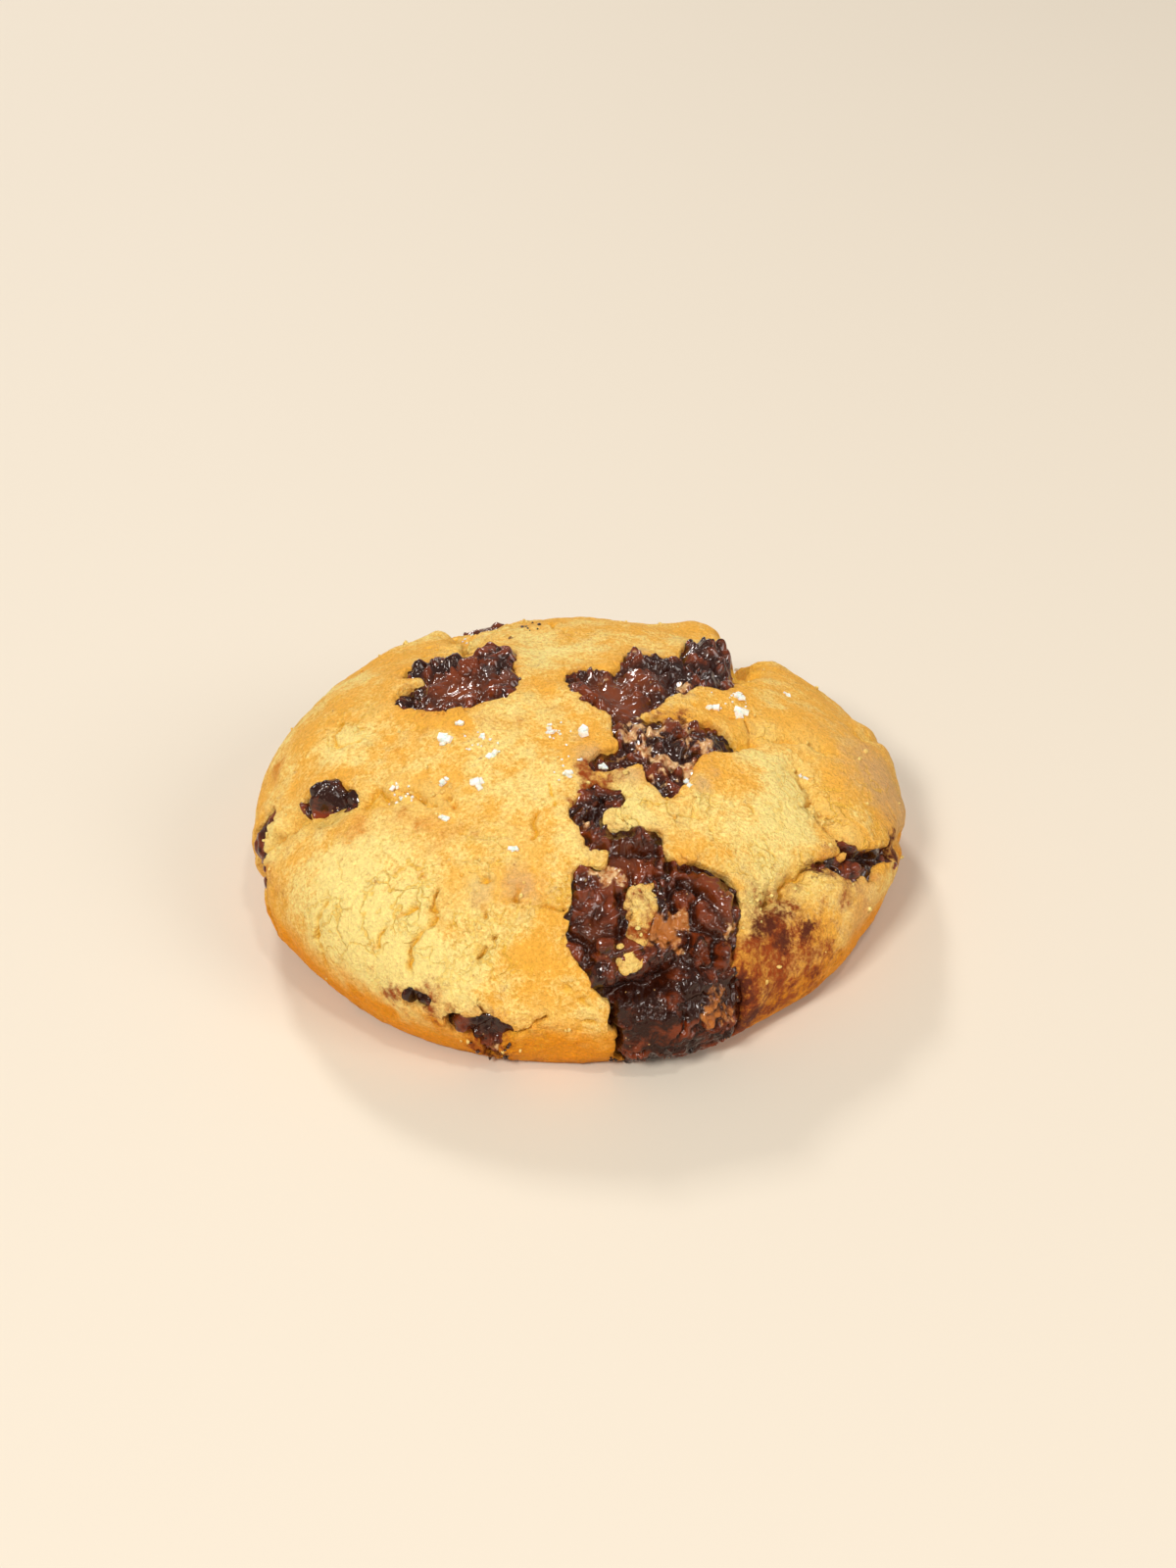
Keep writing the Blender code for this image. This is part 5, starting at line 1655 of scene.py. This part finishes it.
def chocolate_material(colours):
    """Melted chocolate: glossy and crinkled, milkier where it is smooth, with bits of dough in it."""
    material, tree, shader = new_material("melted_chocolate")
    found = noises(tree, CHOCOLATE_NOISES)
    bits = ragged_mark(tree, found, "bits")
    pale_bits = maths(tree, "SUBTRACT", steps(tree, found["fine"], 0.35, 0.65), mark(tree, "browned"), True)
    crumb = blend_colours(tree, pale_bits, tuple(colours.dirty_crumb), tuple(colours.marble))
    colour = blend_colours(tree, bits, bare_chocolate(tree, colours, found), crumb)
    colour = blend_colours(tree, rare_flecks(tree, found), colour, tuple(colours.tan_dough_and_flank_shade))
    tree.links.new(colour, shader.inputs["Base Color"])
    gloss = added(tree, steps(tree, found["streaky"], 0.3, 0.7, 0.14, 0.22), times(tree, bits, 0.4),
                  times(tree, mark(tree, "fudgy"), 0.08))
    tree.links.new(gloss, shader.inputs["Roughness"])
    shader.inputs["Specular IOR Level"].default_value = 0.18
    shader.inputs["Specular Tint"].default_value = (1.0, 0.74, 0.60, 1.0)
    tree.links.new(bump(tree, chocolate_relief(tree, found), 0.00016, 1.0), shader.inputs["Normal"])
    coat = maths(tree, "SUBTRACT", 0.8, times(tree, mark(tree, "fudgy"), 0.5))
    tree.links.new(coat, shader.inputs["Coat Weight"])
    shader.inputs["Coat Roughness"].default_value = 0.07
    return material


def salt_material(colours):
    """Flaky salt: white, with light spreading inside it, and rough broken faces."""
    material, tree, shader = new_material("flaky_salt")
    places = object_places(tree)
    cloudy = noise(tree, places, 1800.0, 3.0)
    colour = blend_colours(tree, steps(tree, cloudy, 0.3, 0.7), (0.80, 0.75, 0.66), tuple(colours.salt))
    tree.links.new(colour, shader.inputs["Base Color"])
    tree.links.new(steps(tree, cloudy, 0.3, 0.7, 0.2, 0.45), shader.inputs["Roughness"])
    shader.inputs["Subsurface Weight"].default_value = 0.4
    shader.inputs["Subsurface Scale"].default_value = 0.0008
    return material


def floor_material(colours):
    material, tree, shader = new_material("pale_floor")
    places = object_places(tree)
    faint = noise(tree, places, 3.0, 2.0)
    low = tuple(0.985 * part for part in colours.floor)
    colour = blend_colours(tree, faint, low, tuple(colours.floor))
    tree.links.new(colour, shader.inputs["Base Color"])
    shader.inputs["Roughness"].default_value = 0.7
    return material


def add_light(name, place, size, power, tint):
    data = bpy.data.lights.new(name, "AREA")
    data.shape = "SQUARE"
    data.size = size
    data.energy = power
    data.color = tint
    item = bpy.data.objects.new(name, data)
    item.location = place
    aim = Vector(LIGHT_AIM) - Vector(place)
    item.rotation_euler = aim.to_track_quat("-Z", "Y").to_euler()
    bpy.context.scene.collection.objects.link(item)
    return item


def add_camera():
    data = bpy.data.cameras.new("camera")
    data.lens = FOCAL_LENGTH
    data.clip_start = 0.01
    item = bpy.data.objects.new("camera", data)
    item.location = Vector(CAMERA_EYE) * MM
    item.rotation_euler = (math.pi / 2 - CAMERA_FALL, 0.0, 0.0)
    bpy.context.scene.collection.objects.link(item)
    bpy.context.scene.camera = item


def set_stage(colours):
    deselect_all()
    bpy.ops.mesh.primitive_plane_add(size=FLOOR_SIZE, location=(0.0, 0.0, 0.0))
    floor = bpy.context.object
    floor.name = "floor"
    floor.data.materials.append(floor_material(colours))
    world = bpy.data.worlds.new("soft_room")
    world.use_nodes = True
    back = world.node_tree.nodes["Background"]
    back.inputs["Color"].default_value = ROOM_COLOUR
    back.inputs["Strength"].default_value = ROOM_STRENGTH
    bpy.context.scene.world = world
    for light in LIGHTS:
        add_light(*light)
    bpy.context.scene.view_settings.view_transform = "Standard"
    add_camera()


class COOKIE_OT_set_stage(bpy.types.Operator):
    """Adds the floor, the light and the camera"""

    bl_idname = "cookie.set_stage"
    bl_label = "Set the stage"

    def execute(self, context):
        set_stage(context.scene.cookie_colours)
        return {"FINISHED"}


class COOKIE_OT_add_crust(bpy.types.Operator):
    """Adds the baked dough with its cracks and pockets"""

    bl_idname = "cookie.add_crust"
    bl_label = "Add the crust"

    def execute(self, context):
        add_crust(context.scene.cookie_sizes, context.scene.cookie_colours)
        return {"FINISHED"}


class COOKIE_OT_add_chocolate(bpy.types.Operator):
    """Adds every pool of melted chocolate"""

    bl_idname = "cookie.add_chocolate"
    bl_label = "Add the chocolate"

    def execute(self, context):
        material = chocolate_material(context.scene.cookie_colours)
        for name, pool in POOLS.items():
            add_melt(name, pool, context.scene.cookie_sizes, material)
        add_chocolate_crumbs(context.scene.cookie_sizes, material)
        return {"FINISHED"}


class COOKIE_OT_add_salt(bpy.types.Operator):
    """Adds the flakes and grains of salt"""

    bl_idname = "cookie.add_salt"
    bl_label = "Add the salt"

    def execute(self, context):
        add_salt(context.scene.cookie_sizes, context.scene.cookie_colours)
        return {"FINISHED"}


class COOKIE_OT_add_crumbs(bpy.types.Operator):
    """Adds loose crumbs along the torn places"""

    bl_idname = "cookie.add_crumbs"
    bl_label = "Add the crumbs"

    def execute(self, context):
        add_dough_crumbs(context.scene.cookie_sizes, context.scene.cookie_colours)
        return {"FINISHED"}


class COOKIE_PT_panel(bpy.types.Panel):
    """Lists the cookie's pieces and settings"""

    bl_idname = "COOKIE_PT_panel"
    bl_label = "Chocolate chunk cookie"
    bl_space_type = "VIEW_3D"
    bl_region_type = "UI"
    bl_category = "Cookie"

    def draw(self, context):
        for operator in OPERATORS:
            self.layout.operator(operator.bl_idname)
        for settings in (context.scene.cookie_sizes, context.scene.cookie_colours):
            for key in settings.__annotations__:
                self.layout.prop(settings, key)


OPERATORS = (
    COOKIE_OT_set_stage,
    COOKIE_OT_add_crust,
    COOKIE_OT_add_chocolate,
    COOKIE_OT_add_salt,
    COOKIE_OT_add_crumbs,
)
CLASSES = (CookieColours, CookieSizes, *OPERATORS, COOKIE_PT_panel)


def register():
    for item in CLASSES:
        bpy.utils.register_class(item)
    bpy.types.Scene.cookie_colours = bpy.props.PointerProperty(type=CookieColours)
    bpy.types.Scene.cookie_sizes = bpy.props.PointerProperty(type=CookieSizes)


def unregister():
    del bpy.types.Scene.cookie_sizes
    del bpy.types.Scene.cookie_colours
    for item in reversed(CLASSES):
        bpy.utils.unregister_class(item)


def main():
    register()
    bpy.ops.cookie.set_stage()
    bpy.ops.cookie.add_crust()
    bpy.ops.cookie.add_chocolate()
    bpy.ops.cookie.add_salt()
    bpy.ops.cookie.add_crumbs()


if __name__ == "__main__":
    main()
